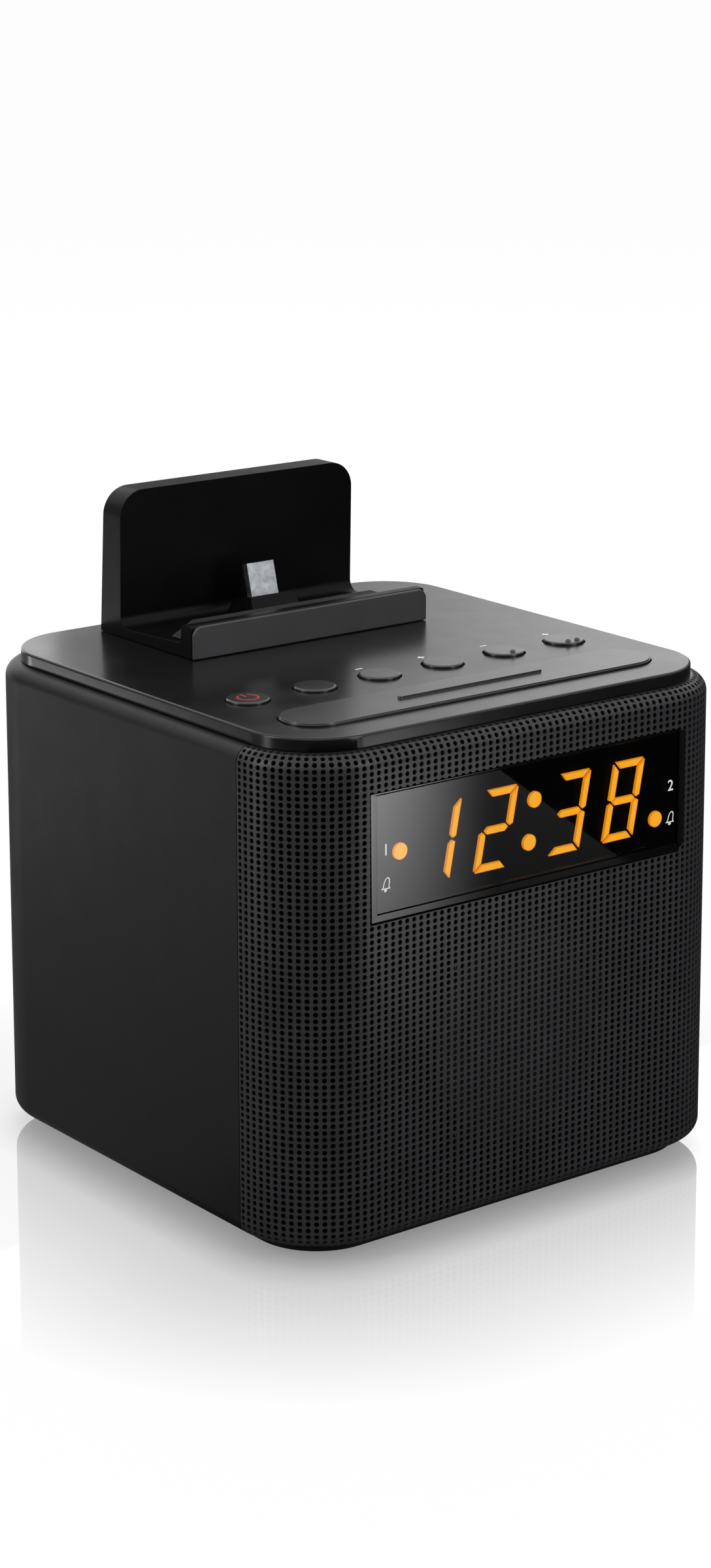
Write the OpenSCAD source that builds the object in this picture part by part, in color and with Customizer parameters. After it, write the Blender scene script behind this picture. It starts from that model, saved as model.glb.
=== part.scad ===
// Cube clock radio with a stand on its lid for a telephone or player.
// Millimetres, +Z up, front faces -Y, origin on the ground under the middle of the body.

/* [Body] */
// Width of the body
body_w = 110; // [104:1:124]
// Depth of the body
body_d = 110; // [106:1:124]
// Height of the cabinet and grille
shell_h = 94.7; // [92:0.1:104]
// Radius of the upright corners
corner_r = 18; // [15:0.5:20]
// Rounding of the shell's upper and lower edges
edge_r = 3; // [2.6:0.1:3.6]
// Wall of the moulded cabinet
cabinet_wall = 2.4; // [2:0.1:2.8]
// Depth of the ledge round the cabinet's top and bottom openings
ledge = 6; // [5:0.5:7]
// Seam between the grille and the cabinet
seam = 0.2; // [0.1:0.05:0.4]

/* [Grille] */
// Thickness of the perforated sheet
grille_t = 0.8; // [0.6:0.1:1]
// Hole spacing along a row
hole_pitch_x = 4.97; // [4:0.01:7]
// Hole spacing down a column
hole_pitch_z = 3.82; // [3.4:0.01:6]
// Hole diameter
hole_d = 2; // [1.2:0.1:2.4]
// Thickness of the baffle behind the sheet
baffle_t = 2; // [1.6:0.1:2.4]

/* [Display] */
// Width of the opening in the grille
display_w = 76.4; // [70:0.2:80]
// Height of the opening in the grille
display_h = 24.9; // [22:0.1:26]
// Height of the opening's middle above the shell's lower edge
display_up = 74.55; // [73:0.05:76]
// Width of the bezel's rim
bezel_rim = 1.4; // [1:0.1:2]
// Thickness of the window
window_t = 1.5; // [1:0.1:1.8]
// Height of a digit
digit_h = 15.6; // [12:0.2:16.4]
// Width of a digit
digit_w = 7.8; // [7:0.1:9.4]
// Width of a lit bar
segment_w = 1.4; // [1.2:0.1:2.2]
// Lean of the digits in degrees
digit_lean = 11; // [0:0.5:12]
// Distance from one digit to the next
digit_pitch = 13.75; // [12.6:0.05:14]

/* [Lid] */
// How far the lid is set in from the body's outline
lid_inset = 3.2; // [3:0.1:4]
// Thickness of the lid
lid_t = 2.5; // [2:0.1:3.2]
// Gap between the lid and the shell
lid_gap = 0.2; // [0.1:0.05:0.4]
// Rounding of the lid's upper edge
lid_edge = 0.5; // [0.3:0.1:0.8]

/* [Keys] */
// Diameter of a round button
button_d = 8.3; // [7:0.1:8.6]
// Distance from one button to the next
button_pitch = 15.7; // [14.5:0.1:16]
// Distance of the button row from the body's front
button_back = 36.2; // [35.6:0.2:39]
// Length of the snooze bar
snooze_l = 88; // [70:1:89]
// Width of the snooze bar
snooze_w = 13.4; // [11:0.2:14]
// Distance of the snooze bar's middle from the body's front
snooze_back = 18; // [17:0.2:19]
// Length of the raised line on the snooze bar
ridge_l = 35.2; // [20:0.2:50]
// Gap between a key and its hole
key_gap = 0.25; // [0.2:0.05:0.4]
// Height that the keys stand above the lid
key_proud = 0.6; // [0.2:0.05:0.8]
// Travel of a button
button_travel = 0.5; // [0.3:0.05:0.55]
// Travel of the snooze bar
snooze_travel = 0.8; // [0.5:0.05:0.85]

/* [Cradle] */
// Width of the cradle
cradle_w = 58.6; // [52:0.2:66]
// Distance of the cradle's back from the body's back
cradle_back_in = 8.5; // [7:0.1:10]
// Depth of the cradle from face to back at the lid
cradle_d = 33.4; // [31:0.1:34]
// Height of the back wall above the lid
cradle_h = 30; // [20:0.5:45]
// Height of the front lip above the lid
lip_h = 6.6; // [6:0.1:9]
// Thickness of the front lip at the floor
lip_t = 3.9; // [3.6:0.1:5]
// Thickness of the back wall at the floor
back_t = 7.4; // [6.6:0.1:8]
// Height of the floor above the lid at the back wall
floor_h = 1.9; // [1.6:0.1:2.4]
// Rise of the floor towards the lip
floor_rise = 0.8; // [0:0.1:1.2]
// Lean of the docked device in degrees
dock_lean = 15; // [8:1:20]
// Thickness of the plate on the lip's face
plate_t = 0.8; // [0.6:0.1:1.2]

/* [Speaker] */
// Radius of the speaker's frame
speaker_r = 25; // [24:0.5:26]
// Height of the speaker's axis above the shell's lower edge
speaker_up = 33; // [31:0.5:35]
// Radius of the cone at its rim
cone_r = 18.8; // [17.6:0.1:19.4]
// Travel of the cone each way
cone_travel = 0.8; // [0.4:0.1:1]

/* [Base] */
// Thickness of the base plate
base_t = 2; // [1.8:0.1:2.6]
// How far the base plate is set in from the body's outline
base_inset = 5; // [4:0.1:6]
// Height that the feet stand below the base plate
foot_proud = 0.8; // [0.5:0.1:2]
// Diameter of a foot
foot_d = 12; // [8:0.5:15]

/* [Hidden] */
$fn = 64;

// Colours as the object shows them
case_black = "#2b2b2c";
lid_black = "#3a3a3b";
sheet_grey = "#6b6b6d";
trim_grey = "#4a4a4c";
window_black = "#0b0b0c";
amber = "#ffb020";
board_green = "#1f5a35";
steel = "#b9bcc0";
brass_yellow = "#c8a24a";
rubber_black = "#1c1c1c";
paper_grey = "#50504c";

seat = 0.1;        // gap between fixed pieces that lie against each other
fit = 0.3;         // gap round a piece that drops into a cut-out
eps = 0.01;        // overlap that joins the parts of one solid

// Heights above the ground
base_z = foot_proud;
shell_z = base_z + base_t + seat;
shell_top = shell_z + shell_h;
lid_z = shell_top + lid_gap;
lid_top = lid_z + lid_t;

// Places in plan
front = -body_d / 2;
back = body_d / 2;
cradle_face = back - cradle_back_in - cradle_d;          // front of the plate on the lip
axis_x = body_w / 2 - corner_r;
axis_y = body_d / 2 - corner_r;

// ---------------------------------------------------------------- shared shapes

// Rectangle with round corners, made of plain pieces that keep true arcs
module round_rect(w, d, r) {
    square([w - 2 * r, d], center = true);
    square([w, d - 2 * r], center = true);
    for (x = [-1, 1], y = [-1, 1]) translate([x * (w / 2 - r), y * (d / 2 - r)]) circle(r);
}

// Long shape with half-round ends
module stadium(l, w) {
    square([l - w, w], center = true);
    for (x = [-1, 1]) translate([x * (l - w) / 2, 0]) circle(w / 2);
}

// Upright section of a body with rounded edges, from the corner's axis out to radius r
module body_section(r, z0, z1, e) {
    translate([0, z0 + e]) square([r, z1 - z0 - 2 * e]);
    translate([0, z0]) square([r - e, z1 - z0]);
    for (z = [z0 + e, z1 - e]) translate([r - e, z]) circle(e);
}

// Section of a shell wall whose ledges turn in at the top and the bottom
module shell_section(t, depth) {
    intersection() {
        difference() {
            body_section(corner_r, shell_z, shell_top, edge_r);
            body_section(corner_r - t, shell_z + t, shell_top - t, max(edge_r - t, 0.2));
        }
        translate([corner_r - depth, shell_z - 1]) square([depth + 1, shell_h + 2]);
    }
}

// Straight run of a section: its outer face looks along angle a, reach away from the middle
module straight_run(a, reach, length, shift = 0) {
    rotate([0, 0, a]) translate([reach - corner_r, shift, 0])
        rotate([90, 0, 0]) linear_extrude(length, center = true) children();
}

// Quarter turn of a section round the corner at (x, y)
module corner_run(x, y, a) {
    translate([x * axis_x, y * axis_y, 0]) rotate([0, 0, a]) rotate_extrude(angle = 90) children();
}

// Screw with its head down: z is where the head meets the work, the shaft points up
module screw(head_r, head_h, shaft_r, shaft_l) {
    translate([0, 0, -head_h]) difference() {
        cylinder(r = head_r, h = head_h);
        translate([0, 0, -eps]) cylinder(r = head_r * 0.45, h = head_h * 0.5, $fn = 6);
    }
    translate([0, 0, -eps]) cylinder(r = shaft_r, h = shaft_l + eps);
}

// ---------------------------------------------------------------- shell

post_r = 4;
post_h = 18;
post_reach = 9;                       // distance of a post from its corner's axis
base_screw_r = 1.5;
base_screw_l = 15;                    // depth of its hole
web_t = 2;
web_sink = 0.4;                       // how far a web reaches into its wall
post_xy = [axis_x + post_reach * cos(45), axis_y + post_reach * sin(45)];

// Post for a base screw, with a web to the wall whose inner face is wall_in from the axis
module corner_post(x, y, wall_in) {
    web_z = shell_z + edge_r;
    translate([x * axis_x, y * axis_y, 0]) rotate([0, 0, atan2(y, x)]) difference() {
        union() {
            translate([post_reach, 0, shell_z]) cylinder(r = post_r, h = post_h);
            translate([post_reach, -web_t / 2, web_z])
                cube([wall_in - post_reach + web_sink, web_t, shell_z + post_h - web_z]);
        }
        translate([post_reach, 0, shell_z - eps]) cylinder(r = base_screw_r, h = base_screw_l);
    }
}

socket_w = 64;
socket_h = 16;
socket_z = shell_z + 8;               // lower edge of the socket opening
panel_t = 2;

module cabinet() {
    color(case_black) difference() {
        union() {
            side = body_d - 2 * corner_r - seam;
            straight_run(0, body_w / 2, side, seam / 2) shell_section(cabinet_wall, ledge);
            straight_run(180, body_w / 2, side, -seam / 2) shell_section(cabinet_wall, ledge);
            straight_run(90, body_d / 2, body_w - 2 * corner_r) shell_section(cabinet_wall, ledge);
            corner_run(1, 1, 0) shell_section(cabinet_wall, ledge);
            corner_run(-1, 1, 90) shell_section(cabinet_wall, ledge);
            for (x = [-1, 1]) corner_post(x, 1, corner_r - cabinet_wall);
        }
        translate([-socket_w / 2, back - cabinet_wall - 1, socket_z])
            cube([socket_w, cabinet_wall + 2, socket_h]);
    }
}

display_z = shell_z + display_up;
speaker_z = shell_z + speaker_up;
baffle_front = front + grille_t + seat;
baffle_back = baffle_front + baffle_t;
bezel_gap = 0.2;                      // round the bezel, in the grille and in the baffle
screw_circle = speaker_r - 1.6;       // radius that the speaker's screws lie on

// How far a corner of radius r has curved back at x, past the flat front
function bow(x, r) = let (d = min(max(x - axis_x, 0), r)) r - sqrt(r * r - d * d);

// Box that is centred on the display in X and Z
module display_box(w, h, y0, y1) {
    translate([-w / 2, y0, display_z - h / 2]) cube([w, y1 - y0, h]);
}

// Turns a shape so that its +Z looks out of the front, on the speaker's axis
module on_speaker(y) {
    translate([0, y, speaker_z]) rotate([90, 0, 0]) children();
}

module front_baffle() {
    z0 = shell_z + edge_r;
    z1 = shell_top - edge_r;
    outer = corner_r - grille_t - seat;
    color(case_black) difference() {
        union() {
            straight_run(270, body_d / 2, body_w - 2 * corner_r)
                translate([outer - baffle_t, z0]) square([baffle_t, z1 - z0]);
            for (c = [[-1, 180], [1, 270]]) corner_run(c[0], -1, c[1])
                translate([outer - baffle_t, z0]) square([baffle_t, z1 - z0]);
            for (x = [-1, 1]) corner_post(x, -1, outer - baffle_t);
        }
        display_box(display_w, display_h, baffle_front - 1, baffle_back + 1);
        on_speaker(baffle_back + 1) cylinder(r = speaker_r - 2.6, h = baffle_t + 2);
        for (a = [45:90:315]) on_speaker(baffle_back + 1) rotate(a)
            translate([screw_circle, 0, 0]) cylinder(r = 0.9, h = baffle_t + 2);
    }
}

// Rows and columns of the perforation on the flat front
grille_cols = floor((body_w - 2 * corner_r) / hole_pitch_x / 2);
grille_rows = floor((shell_h - 2 * edge_r - hole_d) / hole_pitch_z / 2);
corner_cols = floor(corner_r * PI / 2 / hole_pitch_x);
row_z = [for (j = [-grille_rows:grille_rows]) shell_z + shell_h / 2 + j * hole_pitch_z];

// True where a hole at (x, z) keeps clear of the display's opening
function clear_of_display(x, z) =
    abs(x) > display_w / 2 + hole_d || abs(z - display_z) > display_h / 2 + hole_d;

module speaker_grille() {
    depth = edge_r + 1.6;
    color(sheet_grey) {
        difference() {
            union() {
                straight_run(270, body_d / 2, body_w - 2 * corner_r)
                    shell_section(grille_t, depth);
                corner_run(-1, -1, 180) shell_section(grille_t, depth);
                corner_run(1, -1, 270) shell_section(grille_t, depth);
            }
            display_box(display_w, display_h, front - 1, front + grille_t + 1);
            translate([0, front + grille_t + 1, 0]) rotate([90, 0, 0])
                linear_extrude(grille_t + 2)
                    for (i = [-grille_cols:grille_cols], z = row_z)
                        if (clear_of_display(i * hole_pitch_x, z))
                            translate([i * hole_pitch_x, z]) circle(hole_d / 2);
            for (c = [[-1, 180], [1, 270]], i = [1:corner_cols - 1], z = row_z)
                translate([c[0] * axis_x, -axis_y, z])
                    rotate([0, 90, c[1] + 90 * i / corner_cols])
                        translate([0, 0, corner_r - grille_t - 1])
                            cylinder(d = hole_d, h = grille_t + 2);
        }
    }
}

// ---------------------------------------------------------------- display

bezel_w = display_w - 2 * bezel_gap;
bezel_h = display_h - 2 * bezel_gap;
pocket_w = bezel_w - 2 * bezel_rim;
pocket_h = bezel_h - 2 * bezel_rim;
window_front = front + 0.4;
window_back = window_front + window_t;
shelf_y = window_back + seat;          // ledge that the window rests on
flange_t = 1.2;
flange_side = 2;                       // how far the bezel's flange reaches past its sides
flange_up = 1.5;
flange_w = bezel_w + 2 * flange_side;
flange_y = baffle_back + seat + bow(flange_w / 2, corner_r - grille_t - seat - baffle_t);
shelf_w = 1.2;                         // width of the ledge
segment_t = 0.5;
segment_y = window_back + seat + segment_t;
block_y = flange_y + flange_t + 5;     // back of the reflector block

module display_bezel() {
    color(trim_grey) difference() {
        union() {
            display_box(bezel_w, bezel_h, front, flange_y + eps);
            display_box(flange_w, bezel_h + 2 * flange_up, flange_y, flange_y + flange_t);
        }
        display_box(pocket_w, pocket_h, front - 1, shelf_y);
        display_box(pocket_w - 2 * shelf_w, pocket_h - 2 * shelf_w, front, block_y);
        // sloping inner edge of the rim
        hull() {
            display_box(bezel_w - 0.4, bezel_h - 0.4, front - eps, front);
            display_box(pocket_w, pocket_h, window_front, window_front + eps);
        }
    }
}

module display_window() {
    color(window_black)
        display_box(pocket_w - 2 * seat, pocket_h - 2 * seat, window_front, window_back);
}

block_w = pocket_w - 2 * shelf_w - 2 * seat;
block_h = pocket_h - 2 * shelf_w - 2 * seat;

// Bars of each numeral: top, upper right, lower right, bottom, lower left, upper left, middle
function lit(n) = n == 1 ? [0, 1, 1, 0, 0, 0, 0]
    : n == 2 ? [1, 1, 0, 1, 1, 0, 1]
    : n == 3 ? [1, 1, 1, 1, 0, 0, 1]
    : [1, 1, 1, 1, 1, 1, 1];

bar_gap = 0.4;                         // gap between two bars, along X or Z
half_w = digit_w / 2;
half_h = digit_h / 2;
colon_gap = 4.4;                       // extra room for the colon
first_digit = -21;                     // middle of the first digit

// Top bar of a digit that stands upright, mitred at both ends
module end_bar() {
    polygon([[-half_w + bar_gap, half_h], [half_w - bar_gap, half_h],
        [half_w - segment_w - bar_gap, half_h - segment_w],
        [-half_w + segment_w + bar_gap, half_h - segment_w]]);
}

// Upper right bar, mitred at its top and pointed towards the middle
module side_bar() {
    polygon([[half_w, half_h - bar_gap], [half_w, bar_gap / 2 + segment_w / 4],
        [half_w - segment_w / 2, bar_gap / 2],
        [half_w - segment_w, bar_gap / 2 + segment_w / 2],
        [half_w - segment_w, half_h - segment_w - bar_gap]]);
}

// Middle bar, pointed at both ends
module middle_bar() {
    x = half_w - segment_w / 2 - bar_gap;
    inner = x - segment_w / 2;
    polygon([[-x, 0], [-inner, segment_w / 2], [inner, segment_w / 2], [x, 0],
        [inner, -segment_w / 2], [-inner, -segment_w / 2]]);
}

module digit(n) {
    on = lit(n);
    multmatrix([[1, tan(digit_lean), 0, 0], [0, 1, 0, 0], [0, 0, 1, 0], [0, 0, 0, 1]]) {
        if (on[0] == 1) end_bar();
        if (on[3] == 1) rotate(180) end_bar();
        if (on[6] == 1) middle_bar();
        if (on[1] == 1) side_bar();
        if (on[2] == 1) mirror([0, 1]) side_bar();
        if (on[4] == 1) rotate(180) side_bar();
        if (on[5] == 1) mirror([1, 0]) side_bar();
    }
}

alarm_dots = [[-30.1, -0.1], [33.1, -5.35]];
colon_dots = [[2.2, 4.05], [0.9, -4.15]];

module led_segments() {
    color(amber) translate([0, segment_y, display_z]) rotate([90, 0, 0])
        linear_extrude(segment_t) {
            for (i = [0:3])
                translate([first_digit + i * digit_pitch + (i > 1 ? colon_gap : 0), 0])
                    digit([1, 2, 3, 8][i]);
            for (p = colon_dots) translate(p) circle(1.6);
            for (p = alarm_dots) translate(p) circle(1.6);
        }
}

module led_display() {
    color(window_black) display_box(block_w, block_h, segment_y, block_y);
}

board_t = 1.6;

module display_board() {
    color(board_green)
        display_box(bezel_w - 2, bezel_h - 1, block_y, block_y + board_t);
}

// ---------------------------------------------------------------- lid and keys

lid_w = body_w - 2 * lid_inset;
lid_d = body_d - 2 * lid_inset;
lid_r = corner_r - lid_inset;
skirt_t = 1.6;
skirt_h = 6;
skirt_in = ledge + fit;                // skirt's outer face from the body's outline
button_r = button_d / 2;
flange_r = button_r + 1;               // flange that keeps a round key in the lid
button_y = front + button_back;
snooze_y = front + snooze_back;
key_board_top = lid_z - 5;
switch_h = 3.4;                        // switch with its plunger, above the board
switch_top = key_board_top + switch_h;
boss_r = 2;
key_bosses = [for (x = [-1, 1]) [x * (2.5 * button_pitch + 0.75), button_y - 8.2],
    for (x = [-1, 1]) [x * 2 * button_pitch, button_y + 5.9]];
dock_y = cradle_face + 16.3;  // middle of the connector at the floor
dock_bosses = [[-9, dock_y], [9, dock_y]];
cradle_screw_x = cradle_w / 2 - 7;
lip_screw_y = cradle_face + plate_t + seat + lip_t / 2;
wall_screw_y = cradle_face + cradle_d - back_t / 2 - 0.4;
cradle_screw_xy = [for (x = [-1, 1], y = [lip_screw_y, wall_screw_y]) [x * cradle_screw_x, y]];
cradle_screw_r = 1;
plug_w = 8;
plug_d = 5;

// Openings of the lid for the keys, the cradle's screws and the connector
module lid_holes() {
    translate([0, 0, lid_z - 1]) linear_extrude(lid_t + 2) {
        for (i = [0:5]) translate([(i - 2.5) * button_pitch, button_y])
            circle(button_r + key_gap);
        translate([0, snooze_y]) stadium(snooze_l + 2 * key_gap, snooze_w + 2 * key_gap);
        for (p = cradle_screw_xy) translate(p) circle(cradle_screw_r + 0.2);
        translate([0, dock_y]) square([plug_w + 1, plug_d + 1], center = true);
    }
}

// Plate with round corners whose upper edge is rounded by e
module soft_plate(w, d, r, z0, z1, e) {
    translate([0, 0, z0]) linear_extrude(z1 - e - z0) round_rect(w, d, r);
    translate([0, 0, z0]) linear_extrude(z1 - z0) round_rect(w - 2 * e, d - 2 * e, r - e);
    for (a = [0:90:270]) {
        across_x = a % 180 == 0;
        rotate([0, 0, a]) translate([(across_x ? w : d) / 2 - e, 0, z1 - e]) rotate([90, 0, 0])
            cylinder(r = e, h = (across_x ? d : w) - 2 * r, center = true, $fn = 32);
        x = a == 0 || a == 270 ? 1 : -1;
        y = a < 180 ? 1 : -1;
        translate([x * (w / 2 - r), y * (d / 2 - r), z1 - e]) rotate([0, 0, a])
            rotate_extrude(angle = 90) translate([r - e, 0]) circle(e, $fn = 32);
    }
}

module top_panel() {
    color(lid_black) {
        difference() {
            soft_plate(lid_w, lid_d, lid_r, lid_z, lid_top, lid_edge);
            lid_holes();
        }
        translate([0, 0, lid_z - skirt_h]) linear_extrude(skirt_h + eps) difference() {
            round_rect(body_w - 2 * skirt_in, body_d - 2 * skirt_in, corner_r - skirt_in);
            round_rect(body_w - 2 * skirt_in - 2 * skirt_t, body_d - 2 * skirt_in - 2 * skirt_t,
                corner_r - skirt_in - skirt_t);
            for (i = [0:5]) translate([(i - 2.5) * button_pitch, button_y])
                circle(flange_r + fit);
        }
        for (p = concat(key_bosses, dock_bosses)) translate([p[0], p[1], key_board_top])
            difference() {
                cylinder(r = boss_r, h = lid_z - key_board_top + eps);
                translate([0, 0, -1]) cylinder(r = 0.8, h = 5);
            }
    }
}

ridge_w = 1.1;
ridge_h = 0.5;
dot_r = 0.55;                          // raised dots that a finger finds
dot_pitch = 2.36;
dot_y = -2.7;
flange_gap = 0.1;                      // between a key's flange and the lid above it
snooze_flange_t = 0.6;
button_flange_t = 0.8;

module snooze_bar() {
    flange_z = lid_z - flange_gap - snooze_flange_t;
    color(lid_black) translate([0, snooze_y, 0]) {
        translate([0, 0, flange_z]) linear_extrude(snooze_flange_t)
            stadium(snooze_l + 1.6, snooze_w + 2.4);
        translate([0, 0, flange_z]) linear_extrude(lid_top + key_proud - 0.25 - flange_z)
            stadium(snooze_l, snooze_w);
        translate([0, 0, lid_top + key_proud - 0.25 - eps]) linear_extrude(0.25 + eps)
            stadium(snooze_l - 0.5, snooze_w - 0.5);
        translate([0, 0, lid_top + key_proud - eps]) linear_extrude(ridge_h + eps)
            stadium(ridge_l, ridge_w);
    }
}

// Round key i of the row, counted from the left; dots lie on the caps of the last two
module round_button(i, dots = 0) {
    flange_z = lid_z - flange_gap - button_flange_t;
    top = lid_top + key_proud;
    x = (i - 2.5) * button_pitch;
    color(lid_black) translate([x, button_y, 0]) {
        intersection() {
            rotate_extrude() polygon([[0, flange_z], [flange_r, flange_z],
                [flange_r, flange_z + button_flange_t], [button_r, flange_z + button_flange_t],
                [button_r, top - 0.3], [button_r - 0.1, top - 0.1], [button_r - 0.35, top],
                [0, top]]);
            // an outer key's flange stays within the body's opening
            translate([-x, -button_y, flange_z - 1]) linear_extrude(top - flange_z + 2)
                round_rect(body_w - 2 * skirt_in, body_d - 2 * skirt_in, corner_r - skirt_in);
        }
        for (j = [0:1:dots - 1])
            translate([dot_pitch * (j - (dots - 1) / 2), dot_y, top - eps]) intersection() {
                sphere(dot_r, $fn = 32);
                cylinder(r = dot_r, h = dot_r, $fn = 32);
            }
    }
}

module power_button() { round_button(0); }
module preset_button() { round_button(1); }
module tune_down_button() { round_button(2); }
module tune_up_button() { round_button(3); }
module volume_down_button() { round_button(4, 1); }
module volume_up_button() { round_button(5, 2); }

switch_w = 6;
switch_margin = 1.75;                  // board beyond the outer switches
key_board_w = 5 * button_pitch + switch_w + 2 * switch_margin;
key_board_y = [snooze_y - 8.5, button_y + 8.6];

module key_board() {
    inset = skirt_in + skirt_t + fit;
    color(board_green) translate([0, 0, key_board_top - board_t]) difference() {
        intersection() {
            translate([-key_board_w / 2, key_board_y[0], 0])
                cube([key_board_w, key_board_y[1] - key_board_y[0], board_t]);
            linear_extrude(board_t)
                round_rect(body_w - 2 * inset, body_d - 2 * inset, corner_r - inset);
        }
        for (p = key_bosses) translate([p[0], p[1], -1]) cylinder(r = 1, h = board_t + 2);
    }
}

switch_xy = concat([for (i = [0:5]) [(i - 2.5) * button_pitch, button_y]],
    [for (x = [-1, 1]) [x * snooze_l * 0.32, snooze_y]]);

module tact_switches() {
    color(steel) for (p = switch_xy) translate([p[0], p[1], key_board_top]) {
        translate([-switch_w / 2, -switch_w / 2, 0]) cube([switch_w, switch_w, switch_h - 0.5]);
        cylinder(r = 1.7, h = switch_h);
    }
}

module key_board_screws() {
    color(steel) {
        for (p = key_bosses) translate([p[0], p[1], key_board_top - board_t])
            screw(1.8, 1.2, 0.75, board_t + 3);
        for (p = dock_bosses) translate([p[0], p[1], key_board_top - board_t])
            screw(1.8, 1.2, 0.75, board_t + 3);
    }
}

// ---------------------------------------------------------------- cradle

cradle_y = cradle_face + plate_t + seat;        // face that carries the plate
cradle_back = cradle_face + cradle_d;
floor_front = floor_h + floor_rise;
wall_y = cradle_back - back_t;
wall_lean = 1.9;                       // how far the wall's back leans forwards at its top
cradle_corner = 5.5;
fillet = 2.4;

// Rounded step between floor and wall, or the crown of the lip, as arc points
function arc(cx, cy, r, a0, a1, n) =
    [for (i = [0:n]) let (a = a0 + (a1 - a0) * i / n) [cx + r * cos(a), cy + r * sin(a)]];

// J-shaped outline in Y and height above the lid
cradle_outline = concat(
    [[cradle_y, 0], [cradle_back, 0], [cradle_back - wall_lean, cradle_h],
        [wall_y - 0.6, cradle_h]],
    arc(wall_y - fillet, floor_h + fillet, fillet, 0, -90, 6),
    [[cradle_y + lip_t, floor_front]],
    arc(cradle_y + lip_t - 1.5, lip_h - 1.2, 1.2, 0, 90, 4),
    arc(cradle_y + 0.6, lip_h - 0.6, 0.6, 90, 180, 3));

module cradle() {
    color(case_black) difference() {
        translate([0, 0, lid_top + seat]) intersection() {
            rotate([90, 0, 90]) linear_extrude(cradle_w, center = true)
                polygon(cradle_outline);
            // rounded upper corners of the back wall
            translate([0, cradle_back + 1, 0]) rotate([90, 0, 0])
                linear_extrude(cradle_d + 2) {
                    translate([-cradle_w / 2, -1])
                        square([cradle_w, cradle_h - cradle_corner + 1]);
                    translate([-cradle_w / 2 + cradle_corner, 0])
                        square([cradle_w - 2 * cradle_corner, cradle_h]);
                    for (x = [-1, 1])
                        translate([x * (cradle_w / 2 - cradle_corner), cradle_h - cradle_corner])
                            circle(cradle_corner);
                }
        }
        for (p = cradle_screw_xy) translate([p[0], p[1], lid_top])
            cylinder(r = cradle_screw_r, h = p[1] == lip_screw_y ? lip_h - 1.6 : 10);
        translate([-plug_w / 2 - 0.5, dock_y - plug_d / 2 - 0.5, lid_top - 1])
            cube([plug_w + 1, plug_d + 1, floor_front + 2]);
    }
}

module cradle_front_plate() {
    r = 2;
    color(trim_grey) translate([0, cradle_face + plate_t, lid_top + seat])
        rotate([90, 0, 0]) linear_extrude(plate_t) {
            translate([-cradle_w / 2, 0]) square([cradle_w, lip_h - r]);
            translate([-cradle_w / 2 + r, 0]) square([cradle_w - 2 * r, lip_h]);
            for (x = [-1, 1]) translate([x * (cradle_w / 2 - r), lip_h - r]) circle(r);
        }
}

pad_l = 45;
pad_h = 2.6;
pad_w = 3;

module cradle_pad() {
    y = cradle_y + lip_t + 2.6;
    z = lid_top + seat + floor_front + seat;
    color(rubber_black) translate([0, y + pad_w, z]) rotate([90, 0, 0])
        linear_extrude(pad_w) polygon([[-pad_l / 2 - 5, 0], [-pad_l / 2, pad_h],
            [pad_l / 2, pad_h], [pad_l / 2 + 5, 0]]);
}

floor_z = lid_top + seat + floor_front + seat;           // what stands on the floor starts here
boot_h = 3.4;

module connector_boot() {
    color(case_black) difference() {
        hull() {
            translate([0, dock_y, floor_z + 0.3]) cube([12.6, 9, 0.6], center = true);
            translate([0, dock_y + boot_h * tan(dock_lean), floor_z + boot_h - 0.3])
                rotate([-dock_lean, 0, 0]) cube([10.6, 6.4, 0.6], center = true);
        }
        translate([-plug_w / 2 - seat, dock_y - plug_d / 2 - seat, floor_z - 1])
            cube([plug_w + 2 * seat, plug_d + 2 * seat, 2]);
        translate([0, dock_y, floor_z]) rotate([-dock_lean, 0, 0])
            translate([-3.5, -0.95, 0]) cube([7, 1.9, boot_h + 3]);
    }
}

module connector_plug() {
    color(steel) {
        translate([-plug_w / 2, dock_y - plug_d / 2, key_board_top])
            cube([plug_w, plug_d, floor_z + 0.9 - key_board_top]);
        translate([0, dock_y, floor_z]) rotate([-dock_lean, 0, 0])
            translate([-3.35, -0.8, 0]) cube([6.7, 1.6, boot_h + 7]);
    }
}

dock_board_w = 26;
dock_board_d = 14;

module dock_board() {
    color(board_green) translate([0, dock_y, key_board_top - board_t]) difference() {
        translate([-dock_board_w / 2, -dock_board_d / 2, 0])
            cube([dock_board_w, dock_board_d, board_t]);
        for (p = dock_bosses) translate([p[0], 0, -1]) cylinder(r = 1, h = board_t + 2);
    }
}

module cradle_screws() {
    color(steel) for (p = cradle_screw_xy) translate([p[0], p[1], lid_z])
        screw(2, 1.4, cradle_screw_r - 0.05,
            lid_t + (p[1] == lip_screw_y ? lip_h - 2.2 : 9));
}

// ---------------------------------------------------------------- speaker

gasket_t = 1;
basket_y = baffle_back + gasket_t;     // front of the speaker's flange
basket_depth = 13;
coil_r = 6;
cone_depth = 7;
gap_in = coil_r - 0.5;                 // pole's radius
gap_out = coil_r + 0.9;                // top plate's hole
roll_r = 1.4;
roll_at = cone_r + fit + roll_r + 0.4; // middle of the surround's roll

module speaker_gasket() {
    color(paper_grey) on_speaker(basket_y) difference() {
        cylinder(r = speaker_r, h = gasket_t);
        translate([0, 0, -1]) cylinder(r = speaker_r - 2.5, h = gasket_t + 2);
        for (a = [45:90:315]) rotate(a) translate([screw_circle, 0, -1])
            cylinder(r = 0.9, h = gasket_t + 2);
    }
}

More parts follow.
